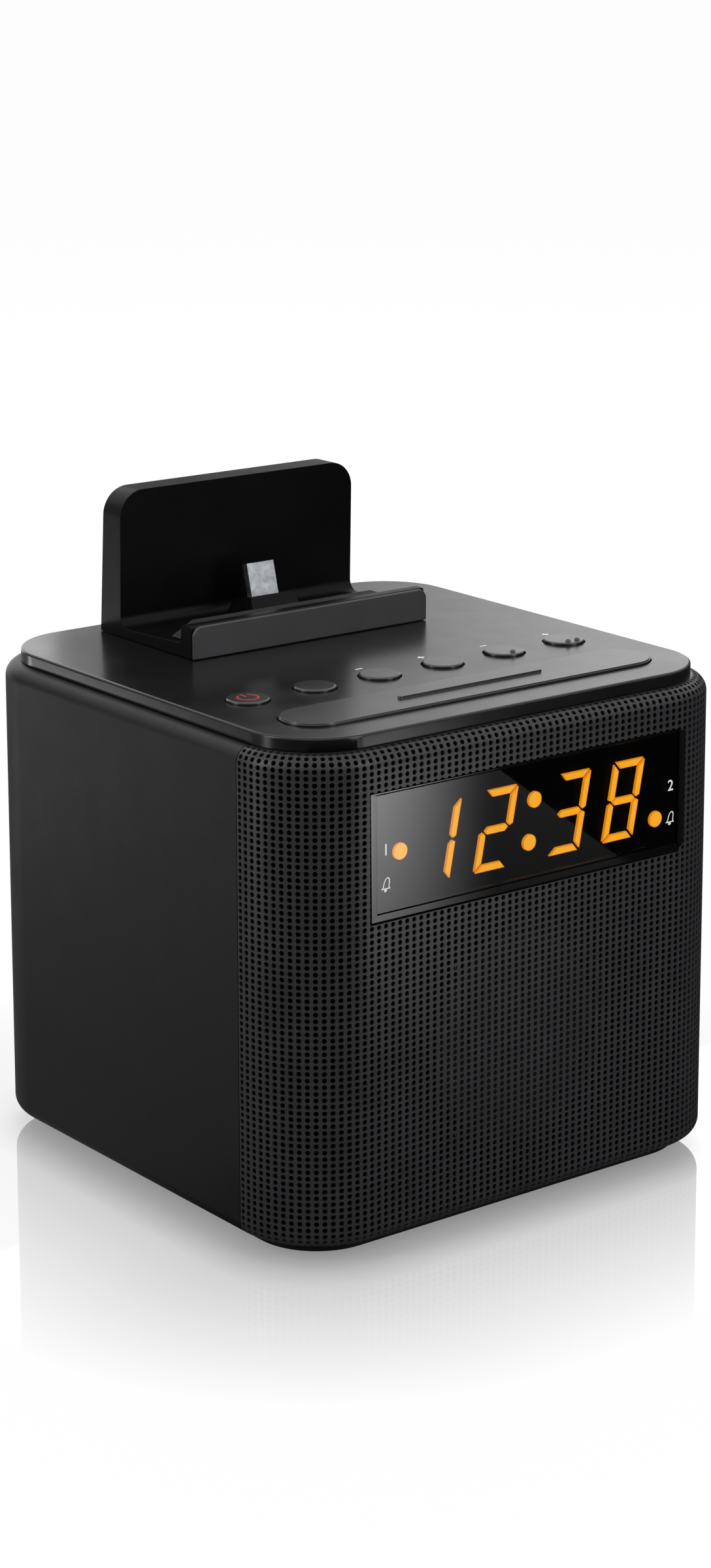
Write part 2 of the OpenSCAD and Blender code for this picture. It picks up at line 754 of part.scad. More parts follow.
module speaker_basket() {
    rim_in = speaker_r - 4.8;
    color(trim_grey) on_speaker(basket_y) difference() {
        rotate_extrude() polygon([[rim_in, 0], [speaker_r, 0], [speaker_r, -1.2],
            [rim_in + 1.4, -1.2], [14, -basket_depth + 1], [14, -basket_depth - 1],
            [gap_out + 0.6, -basket_depth - 1], [gap_out + 0.6, -basket_depth],
            [12.8, -basket_depth], [rim_in, -1.2]]);
        for (a = [0, 90]) rotate(a) translate([-speaker_r, -5, -basket_depth + 2.6])
            cube([2 * speaker_r, 10, 7]);
        for (a = [45:90:315]) rotate(a) translate([screw_circle, 0, -2])
            cylinder(r = 0.9, h = 3);
    }
}

module speaker_surround() {
    z = 0.1;
    outer = speaker_r - 2.6;
    color(rubber_black) on_speaker(basket_y) rotate_extrude() polygon(concat(
        [[cone_r + fit, z], [cone_r + fit, z + 0.4]],
        arc(roll_at, z + 0.4, roll_r, 180, 0, 10),
        [[outer, z + 0.4], [outer, z]],
        [[roll_at + roll_r - 0.4, z]],
        arc(roll_at, z, roll_r - 0.4, 0, 180, 10)));
}

module speaker_cone() {
    z = -cone_depth;
    t = 0.5;
    color(rubber_black) on_speaker(basket_y) {
        rotate_extrude() polygon([[coil_r, z], [cone_r - 0.8, 0], [cone_r, 0], [cone_r, -t],
            [cone_r - 0.6, -t], [coil_r + 0.4, z - t], [coil_r + 0.4, z - 9.5],
            [coil_r, z - 9.5]]);
    }
}

// Distance up the cone's face at radius r
function cone_face(r) = -cone_depth * (1 - (r - coil_r) / (cone_r - 0.8 - coil_r));

module dust_cap() {
    r = 7.6;
    rim = cone_face(r) + 0.05;
    rise_up = 2;
    color(rubber_black) on_speaker(basket_y) rotate_extrude() polygon(concat(
        [for (i = [0:6]) [r * cos(15 * i), rim + rise_up * sin(15 * i)]],
        [for (i = [6:-1:0]) [(r - 0.5) * cos(15 * i), rim + (rise_up - 0.4) * sin(15 * i)]]));
}

module pole_piece() {
    z = -basket_depth - 1;
    color(steel) on_speaker(basket_y) {
        translate([0, 0, z - 2 - seat]) difference() {
            cylinder(r = 14, h = 2);
            translate([0, 0, -1]) cylinder(r = gap_out, h = 4);
        }
        translate([0, 0, z - 11 - seat]) cylinder(r = 14, h = 2.6);
        translate([0, 0, z - 9]) cylinder(r = gap_in, h = 8.6);
    }
}

module speaker_magnet() {
    z = -basket_depth - 3 - 2 * seat;
    color(paper_grey) on_speaker(basket_y) translate([0, 0, z - 6.2]) difference() {
        cylinder(r = 16, h = 6.2);
        translate([0, 0, -1]) cylinder(r = 9, h = 8.2);
    }
}

module speaker_screws() {
    color(steel) for (a = [45:90:315]) on_speaker(basket_y + 1.2) rotate(a)
        translate([screw_circle, 0, 0]) screw(1.5, 1.2, 0.85, 1.2 + gasket_t + baffle_t - 0.3);
}

// ---------------------------------------------------------------- base

base_w = body_w - 2 * base_inset;
base_d = body_d - 2 * base_inset;
base_r = corner_r - base_inset;
base_top = base_z + base_t;
foot_xy = [for (x = [-1, 1], y = [-1, 1]) [x * (axis_x - 4), y * (axis_y - 4)]];
foot_sink = 0.5;
main_z = base_top + 10;                // underside of the main board
main_w = 2 * axis_x;                   // clear of the posts in the corners
main_y0 = front + 41;
main_y1 = back - cabinet_wall - 4;
main_posts = [for (x = [-1, 1], y = [main_y0 + 5, main_y1 - 6]) [x * (main_w / 2 - 5), y]];
cell_d = 20;
cell_t = 3.2;
door_w = 27;
door_d = 30;
door_t = 1.2;
door_screw_sink = 0.7;                 // depth of the seat for the door screw's head
well_xy = [0, -4];
well_h = 6;

module base_plate() {
    color(case_black) difference() {
        union() {
            translate([0, 0, base_z]) linear_extrude(base_t) round_rect(base_w, base_d, base_r);
            for (p = main_posts) translate([p[0], p[1], base_top - eps])
                cylinder(r = 3, h = main_z - base_top + eps);
            translate([well_xy[0] - door_w / 2 + 1, well_xy[1] - door_d / 2 + 1, base_top - eps])
                cube([door_w - 2, door_d - 2, well_h]);
            // ribs that find the cabinet's lower opening
            for (x = [-1, 1]) translate([x * (body_w / 2 - ledge - fit - 0.8) - 0.8, -25,
                base_top - eps]) cube([1.6, 50, 4]);
            translate([-25, back - ledge - fit - 1.6, base_top - eps]) cube([50, 1.6, 4]);
        }
        for (x = [-1, 1], y = [-1, 1]) translate([x * post_xy[0], y * post_xy[1], base_z - 1]) {
            cylinder(r = base_screw_r + 0.2, h = base_t + 2);
            cylinder(r = 3, h = 2.2);
        }
        for (p = foot_xy) translate([p[0], p[1], base_z - 1])
            cylinder(d = foot_d + 2 * seat, h = 1 + foot_sink);
        for (p = main_posts) translate([p[0], p[1], main_z - 8]) cylinder(r = 1, h = 9);
        // door's recess, and the well for the cell above it
        translate([well_xy[0] - door_w / 2, well_xy[1] - door_d / 2, base_z - 1])
            cube([door_w, door_d, 1 + door_t + 0.2]);
        translate([well_xy[0], well_xy[1] - 2, base_z]) cylinder(d = cell_d + 1, h = well_h);
        translate([well_xy[0], well_xy[1] + door_d / 2 - 3.4, base_z]) cylinder(r = 1, h = 5);
    }
}

module battery_door() {
    color(case_black) difference() {
        translate([well_xy[0] - door_w / 2 + fit / 2, well_xy[1] - door_d / 2 + fit / 2, base_z])
            cube([door_w - fit, door_d - fit, door_t]);
        translate([well_xy[0], well_xy[1] + door_d / 2 - 3.4, base_z - 1])
            cylinder(r = 1.2, h = door_t + 2);
        translate([well_xy[0], well_xy[1] + door_d / 2 - 3.4, base_z - 1])
            cylinder(r = 2.2, h = 1 + door_screw_sink);
        for (i = [-2:2]) translate([well_xy[0] - 6, well_xy[1] - 10 + i * 1.6, base_z - eps])
            cube([12, 0.8, 0.4]);
    }
}

module battery_screw() {
    color(steel)
        translate([well_xy[0], well_xy[1] + door_d / 2 - 3.4, base_z + door_screw_sink - 0.05])
            screw(2, 0.6, 0.95, 3.6);
}

module coin_cell() {
    color(steel) translate([well_xy[0], well_xy[1] - 2, base_z + door_t + 0.3]) {
        cylinder(d = cell_d, h = cell_t - 0.6);
        translate([0, 0, cell_t - 0.6 - eps]) cylinder(d = cell_d - 2.4, h = 0.6);
    }
}

module battery_contacts() {
    z = base_z + door_t + 0.3 + cell_t + seat;
    color(brass_yellow) translate([well_xy[0] - 4, well_xy[1] - 8, z]) {
        cube([2.5, 12, 0.4]);
        translate([5.5, 0, 0]) cube([2.5, 12, 0.4]);
    }
}

module rubber_feet() {
    color(rubber_black) for (p = foot_xy) translate([p[0], p[1], 0])
        cylinder(d = foot_d, h = foot_proud + foot_sink - seat);
}

module base_screws() {
    color(steel) for (x = [-1, 1], y = [-1, 1])
        translate([x * post_xy[0], y * post_xy[1], base_z + 1.2])
            screw(2.8, 1, base_screw_r - 0.05, 14);
}

// ---------------------------------------------------------------- main board and sockets

main_top = main_z + board_t;
panel_y = back - 0.5;                  // outer face of the socket panel
dc_x = -22;
audio_x = 20;
usb_x = 2;
gland_x = -8;
dc_z = main_top + 5;
audio_z = main_top + 4.5;
usb_z = main_top + 3.4;

module main_board() {
    color(board_green) difference() {
        translate([-main_w / 2, main_y0, main_z]) cube([main_w, main_y1 - main_y0, board_t]);
        for (p = main_posts) translate([p[0], p[1], main_z - 1]) cylinder(r = 1.1, h = board_t + 2);
    }
}

module board_parts() {
    z = main_top;
    // tuner can, amplifier with its heat sink, two chips
    color(steel) {
        translate([-34, 8, z]) cube([16, 20, 5]);
        translate([14, 2, z]) cube([20, 3, 14]);
        for (i = [0:4]) translate([15 + i * 4, 4.9, z]) cube([1, 5, 14]);
    }
    color(rubber_black) {
        translate([-8, 10, z]) cube([14, 14, 1.6]);
        translate([10, 16, z]) cube([8, 6, 1.6]);
    }
    // smoothing capacitors
    color(case_black) for (x = [-12, -2, 8]) translate([x, -6, z]) cylinder(r = 4, h = 11);
}

module board_screws() {
    color(steel) for (p = main_posts) translate([p[0], p[1], main_top]) mirror([0, 0, 1])
        screw(2, 1.3, 0.95, board_t + 6);
}

module socket_panel() {
    w = socket_w - fit;
    h = socket_h - fit;
    z0 = socket_z + fit / 2;
    color(trim_grey) difference() {
        union() {
            translate([-w / 2, panel_y - panel_t, z0]) cube([w, panel_t, h]);
            translate([-w / 2 - 2, back - cabinet_wall - seat - 1.2, z0 - 2])
                cube([w + 4, 1.2, h + 4]);
        }
        translate([dc_x, panel_y - 8, dc_z]) rotate([-90, 0, 0]) cylinder(r = 4.1, h = 10);
        translate([audio_x, panel_y - 8, audio_z]) rotate([-90, 0, 0]) cylinder(r = 3.1, h = 10);
        translate([gland_x, panel_y - 8, dc_z]) rotate([-90, 0, 0]) cylinder(r = 2.3, h = 10);
        translate([usb_x - 0.2, panel_y - 8, usb_z - usb_h / 2 - 0.2])
            cube([usb_w + 0.4, 10, usb_h + 0.4]);
    }
}

module dc_socket() {
    color(rubber_black) difference() {
        union() {
            translate([dc_x - 4.5, panel_y - 14, main_top]) cube([9, 10, 10.2]);
            translate([dc_x, panel_y - 5, dc_z]) rotate([-90, 0, 0]) cylinder(r = 4, h = 5);
        }
        translate([dc_x, panel_y - 9.5, dc_z]) rotate([-90, 0, 0]) difference() {
            cylinder(r = 2.8, h = 10);
            translate([0, 0, -1]) cylinder(r = 0.8, h = 9.5);
        }
    }
}

audio_bore_l = 12;

module audio_socket() {
    color(rubber_black) difference() {
        union() {
            translate([audio_x - 4, panel_y - 14, main_top]) cube([8, 10, 8]);
            translate([audio_x, panel_y - 5, audio_z]) rotate([-90, 0, 0])
                cylinder(r = 3, h = 5);
        }
        translate([audio_x, panel_y - audio_bore_l, audio_z]) rotate([-90, 0, 0])
            cylinder(r = 1.8, h = audio_bore_l + 1);
    }
}

usb_l = 14;                            // length, width and height of the metal shell
usb_w = 13.2;
usb_h = 5.8;
usb_wall = 0.35;

module usb_socket() {
    z0 = usb_z - usb_h / 2;
    color(steel) difference() {
        translate([usb_x, panel_y - usb_l, z0]) cube([usb_w, usb_l, usb_h]);
        translate([usb_x + usb_wall, panel_y - usb_l + 1, z0 + usb_wall]) difference() {
            cube([usb_w - 2 * usb_wall, usb_l, usb_h - 2 * usb_wall]);
            // tongue that carries the contacts
            translate([0.8, -1, 2.9]) cube([10.9, 11, 1.8]);
        }
    }
    // support on the board
    color(steel) translate([usb_x + 1, panel_y - usb_l + 1, main_top])
        cube([usb_w - 2, 9, z0 - main_top + eps]);
}

module aerial_gland() {
    color(rubber_black) translate([gland_x, 0, dc_z]) rotate([-90, 0, 0]) difference() {
        union() {
            translate([0, 0, panel_y - panel_t - 1.6]) cylinder(r = 2.2, h = panel_t + 1.6);
            translate([0, 0, panel_y - panel_t - 2.4]) cylinder(r = 3.2, h = 1);
        }
        translate([0, 0, panel_y - 3]) cylinder(r = 0.9, h = 4);
    }
}

cabinet();
front_baffle();
speaker_grille();
display_bezel();
display_window();
led_display();
led_segments();
display_board();
top_panel();
snooze_bar();
power_button();
preset_button();
tune_down_button();
tune_up_button();
volume_down_button();
volume_up_button();
key_board();
tact_switches();
key_board_screws();
cradle();
cradle_front_plate();
cradle_pad();
connector_boot();
connector_plug();
dock_board();
cradle_screws();
speaker_basket();
speaker_gasket();
speaker_magnet();
pole_piece();
speaker_surround();
speaker_cone();
dust_cap();
speaker_screws();
main_board();
board_parts();
board_screws();
socket_panel();
dc_socket();
audio_socket();
usb_socket();
aerial_gland();
base_plate();
base_screws();
rubber_feet();
battery_door();
battery_screw();
coin_cell();
battery_contacts();
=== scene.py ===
import math

import bmesh
import bpy
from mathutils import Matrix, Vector


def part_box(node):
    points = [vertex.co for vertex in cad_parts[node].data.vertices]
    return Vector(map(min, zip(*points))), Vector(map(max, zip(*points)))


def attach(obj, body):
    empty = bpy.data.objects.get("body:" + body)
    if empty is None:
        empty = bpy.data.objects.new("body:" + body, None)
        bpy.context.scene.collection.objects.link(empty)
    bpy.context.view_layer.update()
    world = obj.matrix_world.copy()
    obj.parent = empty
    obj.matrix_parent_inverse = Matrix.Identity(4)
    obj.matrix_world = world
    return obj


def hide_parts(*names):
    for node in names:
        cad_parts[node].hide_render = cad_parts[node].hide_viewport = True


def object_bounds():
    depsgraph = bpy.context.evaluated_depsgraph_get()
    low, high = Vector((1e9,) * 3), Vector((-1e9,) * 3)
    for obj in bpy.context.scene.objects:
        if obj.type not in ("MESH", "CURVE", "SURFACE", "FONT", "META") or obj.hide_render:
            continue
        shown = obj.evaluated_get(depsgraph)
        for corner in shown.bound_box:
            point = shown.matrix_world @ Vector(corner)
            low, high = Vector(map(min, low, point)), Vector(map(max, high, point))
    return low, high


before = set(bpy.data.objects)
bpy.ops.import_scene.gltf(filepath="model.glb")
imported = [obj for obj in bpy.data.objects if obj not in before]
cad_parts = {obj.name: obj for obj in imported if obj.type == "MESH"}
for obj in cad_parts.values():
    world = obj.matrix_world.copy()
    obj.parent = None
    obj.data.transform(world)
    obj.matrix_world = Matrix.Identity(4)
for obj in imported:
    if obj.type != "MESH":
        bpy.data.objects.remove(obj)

CAD_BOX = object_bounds()

bl_info = {
    "name": "Cube clock radio",
    "version": (1, 0, 0),
    "blender": (4, 5, 0),
    "location": "3D View > Sidebar > Clock radio",
    "description": "Dresses the packed frame of a cube clock radio with a stand on its lid",
    "category": "Object",
}

MM = 0.001

# Heights and faces that the pieces take from the frame
BODY = "radio_body"
KEYS = ["snooze_bar", "power_button", "preset_button", "tune_down_button", "tune_up_button",
        "volume_down_button", "volume_up_button"]
GRILLE_LOW, GRILLE_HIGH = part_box("speaker_grille")
BEZEL_LOW, BEZEL_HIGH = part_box("display_bezel")
WINDOW_LOW, WINDOW_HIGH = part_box("display_window")
SEAT = 0.1 * MM                        # gap between fixed pieces that lie against each other
LID_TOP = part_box("cradle")[0].z - SEAT

# Roundings of the body that its frame can't tell
CORNER = 18 * MM                       # upright corners
EDGE = 3 * MM                          # upper and lower edges
LEDGE = 1.6 * MM                       # the sheet turned in beyond those edges

MOST_TRIANGLES = 200000                # that one piece may have

INK = 0.03 * MM                        # thickness of a printed sign
INK_LIFT = 0.01 * MM                   # middle of the ink above the face it is printed on


# ------------------------------------------------------------ colours and nodes

def linear(hex_colour):
    """Turns an sRGB hex colour, as a paint program shows it, to the linear values of Blender."""
    parts = [int(hex_colour[i:i + 2], 16) / 255 for i in (1, 3, 5)]
    return [c / 12.92 if c <= 0.04045 else ((c + 0.055) / 1.055) ** 2.4 for c in parts]


def per_mm(size):
    """Scale of a noise or cell texture whose features are about size millimetres wide."""
    return 1 / (size * MM)


def add(tree, kind, settings=None, links=None):
    """Adds one node. A setting is an input's name or number, or a property of the node."""
    made = tree.nodes.new("ShaderNode" + kind)
    for key, value in (settings or {}).items():
        if isinstance(key, str) and key.islower() and hasattr(made, key):
            setattr(made, key, value)
            continue
        socket = made.inputs[key]
        if socket.type == "RGBA" and len(value) == 3:
            value = (*value, 1)
        socket.default_value = value
    for key, (source, output) in (links or {}).items():
        tree.links.new(source.outputs[output], made.inputs[key])
    return made


def new_material(name, **settings):
    """A material with a bare Principled shader, its tree and its Object coordinates."""
    material = bpy.data.materials.new(name)
    material.use_nodes = True
    tree = material.node_tree
    tree.nodes.clear()
    shader = add(tree, "BsdfPrincipled", {k.replace("_", " "): v for k, v in settings.items()})
    add(tree, "OutputMaterial", links={"Surface": (shader, "BSDF")})
    where = add(tree, "TexCoord")
    return material, tree, shader, where


def surface(tree, node, output):
    """Lets another node than the Principled shader be what a material shows."""
    out = next(n for n in tree.nodes if n.bl_idname == "ShaderNodeOutputMaterial")
    tree.links.new(node.outputs[output], out.inputs["Surface"])


def vary(tree, shader, where, dark, light, grain, detail=3.0):
    """Colour that wanders between two tones, in patches about grain millimetres wide."""
    cloud = add(tree, "TexNoise", {"Scale": per_mm(grain), "Detail": detail},
                {"Vector": (where, "Object")})
    ramp = add(tree, "ValToRGB", links={"Fac": (cloud, "Fac")})
    ramp.color_ramp.elements[0].position = 0.3
    ramp.color_ramp.elements[0].color = (*dark, 1)
    ramp.color_ramp.elements[1].position = 0.7
    ramp.color_ramp.elements[1].color = (*light, 1)
    tree.links.new(ramp.outputs["Color"], shader.inputs["Base Color"])
    return cloud


def roughen(tree, shader, where, low, high, grain):
    """Roughness that wanders between low and high, as a handled surface's does."""
    cloud = add(tree, "TexNoise", {"Scale": per_mm(grain), "Detail": 4.0},
                {"Vector": (where, "Object")})
    span = add(tree, "MapRange", {"From Min": 0.3, "From Max": 0.7, "To Min": low,
                                  "To Max": high}, {"Value": (cloud, "Fac")})
    tree.links.new(span.outputs["Result"], shader.inputs["Roughness"])


def emboss(tree, shader, source, output, height, strength=1.0):
    """Bump from a node's output, height in millimetres."""
    bump = add(tree, "Bump", {"Distance": height * MM, "Strength": strength},
               {"Height": (source, output)})
    tree.links.new(bump.outputs["Normal"], shader.inputs["Normal"])


# ------------------------------------------------------------ finishes

def spark_eroded_abs(name, dark, light, low, high, grain=0.35, depth=0.02, shine=0.5):
    """Injection-moulded ABS from a spark-eroded tool: dull, with a fine even grain."""
    material, tree, shader, where = new_material(name, IOR=1.53, Specular_IOR_Level=shine)
    vary(tree, shader, where, dark, light, 14)
    roughen(tree, shader, where, low, high, 9)
    sand = add(tree, "TexNoise", {"Scale": per_mm(grain), "Detail": 2.0},
               {"Vector": (where, "Object")})
    emboss(tree, shader, sand, "Fac", depth)
    return material


def case_finish():
    # Moulded ABS: near black, dull, so that only the grain breaks its reflections
    return spark_eroded_abs("moulded_abs_black", linear("#08080a"), linear("#0b0b0d"),
                            0.44, 0.5, 0.4, 0.02, 0.3)


def lid_finish(s):
    # Painted ABS: a dull lacquer that turns bright where it is seen at a low angle
    return spark_eroded_abs("matt_lacquered_abs", s.lid_colour, [c * 1.25 for c in s.lid_colour],
                            0.2, 0.25, 0.5, 0.003, 0.4)


def key_finish(s):
    # The keys' lacquer is smoother than the lid's, so they show a sharper, brighter sheen
    return spark_eroded_abs("satin_lacquered_abs", s.lid_colour, [c * 1.25 for c in s.lid_colour],
                            0.26, 0.3, 0.6, 0.002, 0.9)


def cradle_finish():
    # Moulded ABS, a little smoother than the case
    return spark_eroded_abs("moulded_abs_charcoal", linear("#060607"), linear("#08080a"),
                            0.34, 0.4, 0.4, 0.012, 0.1)


def plate_finish(s):
    # Anodised aluminium trim in dark grey: a metal, so its sheen has the metal's own grey
    material, tree, shader, where = new_material("anodised_aluminium_grey", Metallic=0.55)
    vary(tree, shader, where, s.plate_colour, [c * 1.15 for c in s.plate_colour], 8)
    roughen(tree, shader, where, 0.42, 0.5, 6)
    return material


def grille_finish(s):
    # Perforated steel sheet with a dark grey powder coat, which leaves a slight orange peel
    material, tree, shader, where = new_material("powder_coated_steel",
                                                 Specular_IOR_Level=0.4)
    vary(tree, shader, where, s.grille_colour, [c * 1.2 for c in s.grille_colour], 10)
    roughen(tree, shader, where, 0.3, 0.36, 5)
    peel = add(tree, "TexNoise", {"Scale": per_mm(0.5), "Detail": 1.0},
               {"Vector": (where, "Object")})
    emboss(tree, shader, peel, "Fac", 0.01)
    return material


def cloth_finish():
    # Acoustic cloth behind the perforation: it takes nearly all light
    material, tree, shader, where = new_material("acoustic_cloth_black", Roughness=0.95,
                                                 Specular_IOR_Level=0.02)
    vary(tree, shader, where, linear("#020202"), linear("#040404"), 1.2)
    weave = add(tree, "TexNoise", {"Scale": per_mm(0.3)}, {"Vector": (where, "Object")})
    emboss(tree, shader, weave, "Fac", 0.05)
    return material


def window_finish():
    # Polished smoked acrylic: mirror gloss, and dark enough to hide all but the lit bars
    material, tree, shader, where = new_material(
        "smoked_acrylic", Roughness=0.02, IOR=1.49, Transmission_Weight=1.0)
    vary(tree, shader, where, linear("#444446"), linear("#464648"), 30)
    return material


def bezel_finish():
    # Polished black polycarbonate round the window
    material, tree, shader, where = new_material("polished_polycarbonate", IOR=1.5)
    vary(tree, shader, where, linear("#060606"), linear("#080808"), 20)
    roughen(tree, shader, where, 0.03, 0.06, 12)
    return material


def block_finish():
    # Matt black reflector block of the lamp module
    material, tree, shader, where = new_material("matt_black_polyester", Roughness=0.9,
                                                 Specular_IOR_Level=0.1)
    vary(tree, shader, where, linear("#020202"), linear("#040404"), 6)
    return material


def lamp_finish(name, colour, strength):
    # Diffusing epoxy over a lamp: it glows almost evenly
    material, tree, shader, where = new_material(name, Roughness=0.6, Base_Color=colour,
                                                 Emission_Color=colour)
    cloud = add(tree, "TexNoise", {"Scale": per_mm(2), "Detail": 3.0},
                {"Vector": (where, "Object")})
    level = add(tree, "MapRange", {"To Min": strength * 0.94, "To Max": strength * 1.04},
                {"Value": (cloud, "Fac")})
    tree.links.new(level.outputs["Result"], shader.inputs["Emission Strength"])
    return material


def ink_with_painted_glow(name, colour, glow):
    # Printed ink, thin and even, with slight pinholes. Its emission is painted light: a glow that
    # keeps the print bright whatever light falls on it
    material, tree, shader, where = new_material(name, Roughness=0.5, Emission_Color=colour,
                                                 Emission_Strength=glow)
    vary(tree, shader, where, [c * 0.9 for c in colour], colour, 0.6)
    return material


def board_finish():
    # Glass-epoxy board under green solder mask: glossy, with copper tracks just showing
    material, tree, shader, where = new_material("solder_mask_green", IOR=1.5)
    tracks = add(tree, "TexBrick", {"Scale": per_mm(6), "Color1": linear("#12452a"),
                                    "Color2": linear("#17502f"), "Mortar": linear("#2c7a48"),
                                    "Mortar Size": 0.05}, {"Vector": (where, "Object")})
    tree.links.new(tracks.outputs["Color"], shader.inputs["Base Color"])
    roughen(tree, shader, where, 0.28, 0.4, 4)
    emboss(tree, shader, tracks, "Fac", 0.04)
    return material


def steel_finish():
    # Zinc-plated steel: a bright cool metal with soft streaks
    material, tree, shader, where = new_material("zinc_plated_steel", Metallic=1.0)
    vary(tree, shader, where, linear("#9a9da2"), linear("#c4c7cb"), 1.5)
    roughen(tree, shader, where, 0.26, 0.38, 1)
    return material


def parts_finish():
    # Board parts in one solid: tinned steel can and heat sink, black epoxy chips and sleeves
    material, tree, shader, where = new_material("tinned_steel_and_epoxy", Roughness=0.38)
    chip_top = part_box("main_board")[1].z + 1.7 * MM
    sleeves_back = -1 * MM
    axes = add(tree, "SeparateXYZ", links={"Vector": (where, "Object")})
    front = add(tree, "Math", {"operation": "LESS_THAN", 1: sleeves_back}, {0: (axes, "Y")})
    low = add(tree, "Math", {"operation": "LESS_THAN", 1: chip_top}, {0: (axes, "Z")})
    dark = add(tree, "Math", {"operation": "MAXIMUM"}, {0: (front, 0), 1: (low, 0)})
    metal = add(tree, "Math", {"operation": "SUBTRACT", 0: 1.0}, {1: (dark, 0)})
    # a colour Mix node has its two colours at 6 and 7 and its result at 2
    colour = add(tree, "Mix", {"data_type": "RGBA", 6: (*linear("#b9bcc0"), 1),
                               7: (*linear("#161616"), 1)}, {0: (dark, 0)})
    tree.links.new(colour.outputs[2], shader.inputs["Base Color"])
    tree.links.new(metal.outputs[0], shader.inputs["Metallic"])
    return material


def dull_finish(name, dark, light, roughness, grain, depth, metallic=0.0):
    """A plain dull material with grain, for paper, rubber, foam, ferrite and painted steel."""
    material, tree, shader, where = new_material(name, Roughness=roughness, Metallic=metallic)
    cloud = vary(tree, shader, where, linear(dark), linear(light), grain)
    emboss(tree, shader, cloud, "Fac", depth)
    return material


# ------------------------------------------------------------ making pieces

def clear_selection():
    if bpy.context.object and bpy.context.object.mode != "OBJECT":
        bpy.ops.object.mode_set(mode="OBJECT")
    bpy.ops.object.select_all(action="DESELECT")


def only(piece):
    """Selects this piece alone and makes it the active one."""
    clear_selection()
    piece.select_set(True)
    bpy.context.view_layer.objects.active = piece
    return piece


def named(name):
    """Names the object that an operator has just made."""
    piece = bpy.context.object
    piece.name = piece.data.name = name
    return piece


def edit(piece):
    """Opens a piece in edit mode with nothing selected, and gives its mesh."""
    only(piece)
    bpy.ops.object.mode_set(mode="EDIT")
    bpy.ops.mesh.select_all(action="DESELECT")
    return bmesh.from_edit_mesh(piece.data)


def pick(piece, kind, test):
    """Selects the vertices, edges or faces of the open piece that pass the test."""
    mesh = bmesh.from_edit_mesh(piece.data)
    bpy.ops.mesh.select_mode(type={"verts": "VERT", "edges": "EDGE", "faces": "FACE"}[kind])
    for part in getattr(mesh, kind):
        part.select_set(test(part))
    mesh.select_flush_mode()
    bmesh.update_edit_mesh(piece.data)


def close(piece):
    bpy.ops.object.mode_set(mode="OBJECT")
    return piece


def modify(piece, kind, **settings):
    """Adds a modifier and applies it."""
    only(piece)
    modifier = piece.modifiers.new(kind.title(), kind)
    for key, value in settings.items():
        setattr(modifier, key, value)
    bpy.ops.object.modifier_apply(modifier=modifier.name)
    return piece


def smooth(piece, degrees=35):
    only(piece)
    bpy.ops.object.shade_smooth_by_angle(angle=math.radians(degrees))
    return piece


def settle(piece):
    """Puts a piece's place, turn and size into its mesh."""
    only(piece)
    bpy.ops.object.transform_apply(location=True, rotation=True, scale=True)
    return piece


def outward(piece):
    edit(piece)
    bpy.ops.mesh.select_all(action="SELECT")
    bpy.ops.mesh.normals_make_consistent(inside=False)
    return close(piece)


def join(name, pieces):
    clear_selection()
    for piece in pieces:
        piece.select_set(True)
    bpy.context.view_layer.objects.active = pieces[0]
    if len(pieces) > 1:
        bpy.ops.object.join()
    return named(name)


def paint(piece, *materials):
    piece.data.materials.clear()
    for material in materials:
        piece.data.materials.append(material)


def hand_over(piece, body, slot, *replaced):
    """Lets a piece ride on its body and hides the CAD nodes it stands for. The slot is not used.
    """
    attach(piece, body)
    if replaced:
        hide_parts(*replaced)
    return piece


def copy_of(node, name):
    """A merged copy of a CAD node's mesh, with its flat faces made whole again."""
    piece = bpy.data.objects.new(name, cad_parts[node].data.copy())
    bpy.context.scene.collection.objects.link(piece)
    edit(piece)
    bpy.ops.mesh.select_all(action="SELECT")
    bpy.ops.mesh.remove_doubles(threshold=0.002 * MM)
    bpy.ops.mesh.dissolve_limited(angle_limit=math.radians(1))
    return close(piece)


# ------------------------------------------------------------ settings

class RadioFinishes(bpy.types.PropertyGroup):
    lid_colour: bpy.props.FloatVectorProperty(
        name="Lid", description="Lacquer of the lid and its keys", subtype="COLOR",
        min=0, max=1, default=linear("#0e0e0f"))
    grille_colour: bpy.props.FloatVectorProperty(
        name="Grille", description="Powder coat of the perforated sheet", subtype="COLOR",
        min=0, max=1, default=linear("#262628"))
    plate_colour: bpy.props.FloatVectorProperty(
        name="Cradle plate", description="Plate on the face of the cradle's lip",
        subtype="COLOR", min=0, max=1, default=linear("#464648"))


class RadioGrille(bpy.types.PropertyGroup):
    hole: bpy.props.FloatProperty(
        name="Hole", description="Diameter of a hole in the sheet", unit="LENGTH",
        default=1.02 * MM, min=0.5 * MM, max=1.1 * MM)
    columns: bpy.props.IntProperty(
        name="Front columns", description="Columns of holes across the flat front",
        default=45, min=20, max=60)
    corner_columns: bpy.props.IntProperty(
        name="Corner columns", description="Columns of holes round one corner",
        default=18, min=8, max=24)
    rows: bpy.props.IntProperty(
        name="Rows", description="Rows of holes, those on the rounded edges included",
        default=77, min=40, max=90)
    thickness: bpy.props.FloatProperty(
        name="Thickness", description="Thickness of the sheet", unit="LENGTH",
        default=0.4 * MM, min=0.3 * MM, max=1 * MM)


